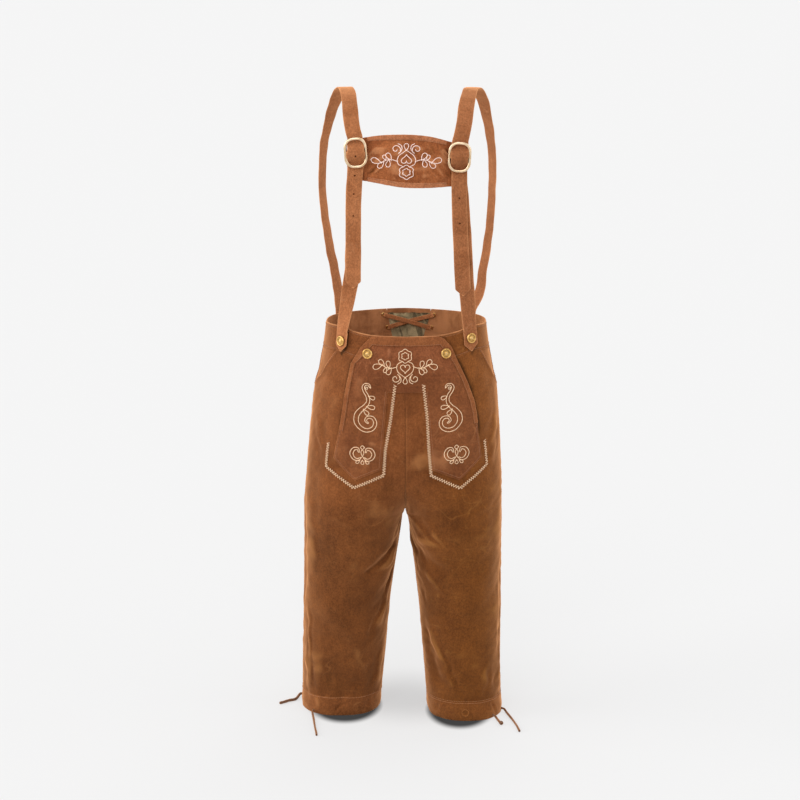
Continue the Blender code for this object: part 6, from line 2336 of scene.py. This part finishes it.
# %% Sew
def sew(name, kind, lines):
    """Runs the tree along guide lines. A line is its points and the directions they look in."""
    points = np.vstack([line[0] for line in lines])
    normals = np.vstack([line[1] for line in lines])
    edges, first = [], 0
    for line in lines:
        count = len(line[0])
        edges += [(first + k, first + k + 1) for k in range(count - 1)]
        first += count
    mesh = bpy.data.meshes.new(name)
    mesh.from_pydata(points.tolist(), edges, [])
    mesh.attributes.new("looks_towards", "FLOAT_VECTOR", "POINT").data.foreach_set(
        "vector", normals.astype(np.float32).ravel()
    )
    guide = bpy.data.objects.new(f"{name}_guide", mesh)
    scene.collection.objects.link(guide)
    rows = guide.modifiers.new("rows", "NODES")
    rows.node_group = STITCH_TREE
    for item in STITCH_TREE.interface.items_tree:
        if item.in_out == "INPUT" and item.name in kind.sizes:
            rows[item.identifier] = kind.sizes[item.name]
        elif item.in_out == "INPUT" and item.name == "Paint":
            rows[item.identifier] = kind.paint
    graph = bpy.context.evaluated_depsgraph_get()
    sewn = bpy.data.meshes.new_from_object(guide.evaluated_get(graph))
    sewn.name = name
    bpy.data.objects.remove(guide)
    bpy.data.meshes.remove(mesh)
    if not sewn.materials:
        sewn.materials.append(kind.paint)
    add_piece(name, sewn)
    long = sum(float(running_length(line[0])[-1]) for line in lines)
    print(f"{name}: {long:.2f} m of line, {len(sewn.polygons)} faces")


# %% Guide lines
def spaced(points, spacing=0.0015):
    """A flat line with points every so often, straight between its own points."""
    points = np.array(points, float)
    length = running_length(points)
    return spaced_out(points, length, max(int(length[-1] / spacing), 2))


def on_surface(place, flat, out, lift=None):
    """A line in pattern places, laid on a surface, with the directions it looks in."""
    across, level = np.asarray(flat).T
    out = np.full(len(across), float(out))
    if lift is not None:
        out = out + lift(across, level)
    points = place(across, level, out)[0]
    looks = place(across, level, out + 0.001)[0] - points
    return points, looks / np.linalg.norm(looks, axis=1)[:, None]


def pattern_line(place, corners, out, lift=None, scale=GIRTH_SCALE):
    """A straight-sided sewn line from its corners in pattern places."""
    flat = spaced([(across * scale, level) for across, level in corners])
    flat[:, 0] /= scale
    return on_surface(place, flat, out, lift)


def level_of(girth, height):
    """The pattern level that lies at a height."""
    level = np.array(height, float)
    for _ in range(5):
        level = level - (true_height(girth, level) - height)
    return level


def front_places(points):
    """Places on the front given by x and height, as pattern places."""
    rows = []
    for x, height in points:
        level = height
        for _ in range(3):
            across = across_at(x, level)
            level = float(level_of(np.array([1 - abs(across)]), np.array([height]))[0])
        rows.append((across, level))
    return np.array(rows)


# %% Topstitching
ON_LEATHER = 0.0002
SEAM_INSET = 0.0042
BAND_LEVELS = (BAND_SEAM + 0.0035, WAIST - 0.0040)


def trouser_lines():
    """Rows below the pocket mouths, beside the back's seams and along the waistband."""
    lines = []
    for side in (-1, 1):
        front_half, back_half = one_half(side, 1), one_half(side, -1)
        inset = SEAM_INSET / GIRTH_SCALE
        mouth = np.array(POCKET_MOUTH[side])
        below = mouth + np.array((0.012, -0.0024))
        lines.append(pattern_line(front_half, below, ON_LEATHER, pocket_gape(side)))
        for across, top in ((inset, 0.716), (1 - inset, 0.592)):
            ends = [(across, 0.042), (across, top)]
            lines.append(pattern_line(back_half, ends, ON_LEATHER))
        foot, top = GUSSET_FOOT - 0.006, BAND_SEAM - 0.002
        beside = [(1 - inset * 0.6, foot), (1 - gusset_edge(side, top) - inset, top)]
        lines.append(pattern_line(back_half, beside, ON_LEATHER))
        for level, out in zip(BAND_LEVELS, (BAND_PROUD + 0.0001, BAND_PROUD)):
            lines.append(pattern_line(front_half, [(0.0, level), (1.0, level)], out))
        upright = [(1 - gusset_edge(side, level) - inset, level) for level in BAND_LEVELS]
        for across, level in upright:
            ends = [(0.0, level), (across, level)]
            lines.append(pattern_line(back_half, ends, BAND_PROUD))
        lines.append(pattern_line(back_half, upright, BAND_PROUD))
    return lines


def knee_band_lines():
    """A row along the upper edge of each knee band, and one above it on the left leg."""
    lines = []
    for side in (-1, 1):
        ends = [(0.01, CUFF_TOP - 0.0022), (1.99, CUFF_TOP - 0.0022)]
        lines.append(pattern_line(round_leg(side), ends, CUFF_PROUD, casing))
        if side > 0:
            ends = [(0.01, CUFF_TOP + 0.0014), (1.99, CUFF_TOP + 0.0014)]
            lines.append(pattern_line(round_leg(side), ends, ON_LEATHER))
    return lines


def inset_line(corners, depth):
    """A flat open line moved sideways, to its left."""
    corners = np.array(corners, float)
    moved = []
    for index, here in enumerate(corners):
        normals = []
        for a, b in ((index - 1, index), (index, index + 1)):
            if a < 0 or b >= len(corners):
                continue
            run = corners[b] - corners[a]
            normals.append(np.array((-run[1], run[0])) / np.linalg.norm(run))
        middle = sum(normals)
        moved.append(here + depth * middle / max(middle @ normals[0], 0.4))
    return np.array(moved)


def flap_lines():
    """Rows along the edging's inner edge and round the tongues."""
    lines = []
    for side, edge in ((-1, flap_right), (1, flap_left)):
        outwards = side * 0.0012 / GIRTH_SCALE
        strip = [edging_inside(point, -side) for point in edge[:EDGED_POINTS]]
        strip = [(across + outwards, level) for across, level in strip]
        lines.append(pattern_line(flap_place, strip, EDGING_OUT + TRIM))
        flat = [(across * GIRTH_SCALE, level) for across, level in edge[EDGED_POINTS - 1:]]
        inner = inset_line(flat, 0.0040 * (1 if side < 0 else -1))
        inner[:, 0] /= GIRTH_SCALE
        lines.append(pattern_line(flap_place, inner, FLAP_OUT + LEATHER))
    left, right = (edging_inside(edge[0], s) for edge, s in ((flap_right, 1), (flap_left, -1)))
    level = left[1] + 0.0012
    ends = [(left[0], level), (right[0], level)]
    lines.append(pattern_line(flap_place, ends, EDGING_OUT + TRIM))
    return lines


sew("topstitch_trousers", TOPSTITCH, trouser_lines())
sew("topstitch_knee_bands", PALE_TOPSTITCH, knee_band_lines())
sew("topstitch_flap", TOPSTITCH, flap_lines())
chest_lines = [
    pattern_line(
        lambda x, v, out: chest_place(x, v / CHEST_HEIGHT, out),
        [(-0.067, level), (0.071, level)], SEAM + TRIM, None, 1.0,
    )
    for level in (CHEST_BORDER - 0.0016, CHEST_HEIGHT - CHEST_BORDER + 0.0016)
]
sew("topstitch_chest", TOPSTITCH, chest_lines)

# %% Zigzag
# Two broken lines round the tongues, by their corners' x and height
ZIGZAG_PLACES = (
    ((-0.019, 0.667), (-0.027, 0.603), (-0.037, 0.544), (-0.040, 0.496), (-0.096, 0.471),
     (-0.146, 0.504), (-0.142, 0.549)),
    ((0.033, 0.667), (0.040, 0.603), (0.043, 0.540), (0.047, 0.496), (0.101, 0.470),
     (0.152, 0.506), (0.146, 0.553)),
)
zigzag_lines = [
    on_surface(flap_place, front_places(spaced(corners, 0.004)), FLAP_OUT + LEATHER)
    for corners in ZIGZAG_PLACES
]
sew("zigzag_front", ZIGZAG, zigzag_lines)

# %% [markdown]
# ## Embroidery
#
# The ornament is a design of its own in the old manner of Alpine leather: a heart under a
# six-petalled flower with leafy sprays, a curling scroll on each tongue and a small
# rosette below it. Every line is a formula: a spiral, a teardrop, a heart, a lobed ring or
# a smooth curve through a few points, drawn in millimetres round the motif's middle.

# %% Ornament shapes
CURL_SHRINK = 0.75


def curl(x, y, radius, start, turns):
    """A spiral round a middle, from its outer end to its inner end. Angles in degrees."""
    t = np.linspace(0, 1, 60)
    angle = math.radians(start) + 2 * math.pi * turns * t
    reach = radius * (1 - CURL_SHRINK * t)
    return np.stack([x + reach * np.cos(angle), y + reach * np.sin(angle)], 1)


def drop(x, y, length, width, turn):
    """A teardrop that starts at its point and swells in a direction."""
    t = np.linspace(0, 2 * math.pi, 44)
    along = length * (1 - np.cos(t)) / 2
    aside = 0.65 * width * np.sin(t) * np.sin(t / 2)
    cos, sin = math.cos(math.radians(turn)), math.sin(math.radians(turn))
    return np.stack([x + along * cos - aside * sin, y + along * sin + aside * cos], 1)


def heart(x, y, size):
    t = np.linspace(0, 2 * math.pi, 60)
    high = 13 * np.cos(t) - 5 * np.cos(2 * t) - 2 * np.cos(3 * t) - np.cos(4 * t)
    return np.stack([x + size * np.sin(t) ** 3, y + size * high / 16], 1)


def petalled(x, y, radius, petals, depth, turn=0.0):
    t = np.linspace(0, 2 * math.pi, 80)
    reach = radius * (1 + depth * np.cos(petals * (t - math.radians(turn))))
    return np.stack([x + reach * np.cos(t), y + reach * np.sin(t)], 1)


def vine(*points):
    """A smooth curve through a few points."""
    rows = curve_through([(x, y, 0.0) for x, y in points], 0.8)
    return rows[:, :2]


def swash(*points):
    """The outline of a scroll that swells and tapers: each point is x, y and a width."""
    rows = curve_through([(x, y, 0.0, width) for x, y, width in points], 0.9)
    places, widths = rows[:, :2], rows[:, 3]
    along = np.gradient(places, axis=0)
    along /= np.linalg.norm(along, axis=1)[:, None]
    aside = np.stack([-along[:, 1], along[:, 0]], 1) * widths[:, None] / 2
    tip = places[-1] + along[-1] * widths[-1] * 0.6
    tail = places[0] - along[0] * widths[0] * 0.6
    return np.vstack([tail, places + aside, tip, (places - aside)[::-1], tail])


def mirrored(lines):
    return [*lines, *[line * np.array((-1.0, 1.0)) for line in lines]]


# %% Motifs
HEART_MOTIF = [
    petalled(0, 21.0, 11.8, 6, 0.08, 90),
    petalled(0, 21.0, 6.2, 6, 0.10, 90),
    heart(0, -1.5, 8.6),
    drop(0, -18.5, 11.5, 7.5, -90),
    *mirrored([
        vine((6.5, 10.5), (13.0, 7.0), (15.5, 0.0), (12.5, -8.5), (6.0, -14.0), (0.0, -18.5)),
        curl(17.5, -20.0, 8.5, 128, 1.1),
        vine((12.6, -13.2), (9.5, -16.5), (7.5, -21.0), (8.5, -26.5), (13.0, -29.5)),
        vine((15.3, 1.5), (21.0, -0.5), (28.0, -1.5), (36.0, 0.5), (42.0, 4.5)),
        drop(42.0, 4.5, 17.0, 9.5, -20),
        drop(38.0, 2.0, 14.5, 8.0, 52),
        drop(29.0, -1.0, 13.0, 7.5, 78),
        drop(25.5, -1.0, 13.5, 8.0, -58),
        drop(34.5, -0.5, 9.5, 5.5, -70),
    ]),
]
SCROLL_MOTIF = [
    swash(
        (-7.5, 41.0, 2.0), (-5.0, 45.5, 3.0), (0.5, 46.0, 3.6), (4.0, 41.0, 4.2),
        (2.0, 33.0, 4.6), (-3.0, 24.0, 5.0), (-4.0, 14.0, 5.6), (1.5, 5.0, 6.6),
        (10.5, -3.5, 7.8), (17.0, -14.0, 8.2), (17.0, -27.0, 7.8), (9.5, -36.5, 7.2),
        (-2.0, -40.0, 6.8), (-12.5, -35.5, 6.2), (-16.5, -25.5, 5.6), (-12.0, -16.5, 5.0),
        (-3.5, -15.5, 4.2), (0.5, -21.5, 3.2), (-3.5, -26.0, 2.0),
    ),
    drop(-5.5, 24.0, 11.0, 6.5, 205),
    drop(-2.0, 5.0, 14.0, 7.5, 190),
    drop(3.5, -1.0, 12.5, 6.5, 232),
    petalled(-1.5, 39.0, 1.9, 3, 0.05),
]
ROSETTE_MOTIF = [
    petalled(0, 15.0, 3.2, 4, 0.10),
    drop(0, -3.0, 12.5, 5.0, 90),
    drop(0, -11.0, 7.5, 5.5, -90),
    *mirrored([
        swash((3.5, -6.0, 2.0), (9.5, -9.5, 4.0), (17.0, -6.5, 5.6), (20.5, 2.0, 6.0),
              (16.5, 10.5, 5.4), (9.0, 12.0, 4.0), (6.5, 6.5, 2.2)),
        drop(5.5, -11.5, 8.0, 5.0, -40),
    ]),
]
Motif = namedtuple("Motif", "shape x height wide high")
FLAP_MOTIFS = (
    Motif(HEART_MOTIF, -0.0005, 0.7000, 1.0, 1.0),
    Motif(SCROLL_MOTIF, -0.0720, 0.6215, -1.02, 1.0),
    Motif(SCROLL_MOTIF, 0.0810, 0.6215, 1.02, 1.0),
    Motif(ROSETTE_MOTIF, -0.0785, 0.5340, 0.98, 0.95),
    Motif(ROSETTE_MOTIF, 0.0935, 0.5340, 0.98, 0.95),
)
# On the chest piece the heart motif stands on its head
CHEST_MOTIF = Motif(HEART_MOTIF, 0.0015, 1.0790, 1.06, -1.0)


# %% Sew the motifs
def motif_places(motif):
    """A motif's lines as x and height, in metres."""
    for line in motif.shape:
        x = motif.x + line[:, 0] * motif.wide / 1000
        yield x, motif.height + line[:, 1] * motif.high / 1000


def on_flap(motif):
    """A motif's lines laid on the flap."""
    return [
        on_surface(flap_place, front_places(np.stack(place, 1)), FLAP_OUT + LEATHER + 0.0001)
        for place in motif_places(motif)
    ]


embroidered = [line for motif in FLAP_MOTIFS for line in on_flap(motif)]
sew("embroidery_flap", EMBROIDERY, embroidered)
chest_motif = []
for x, height in motif_places(CHEST_MOTIF):
    low, high = (blend(CHEST_PIECE, column, x) for column in ("low", "high"))
    flat = np.stack([x, (height - low) / (high - low)], 1)
    chest_motif.append(on_surface(chest_place, flat, 0.0001))
sew("embroidery_chest", CHEST_EMBROIDERY, chest_motif)
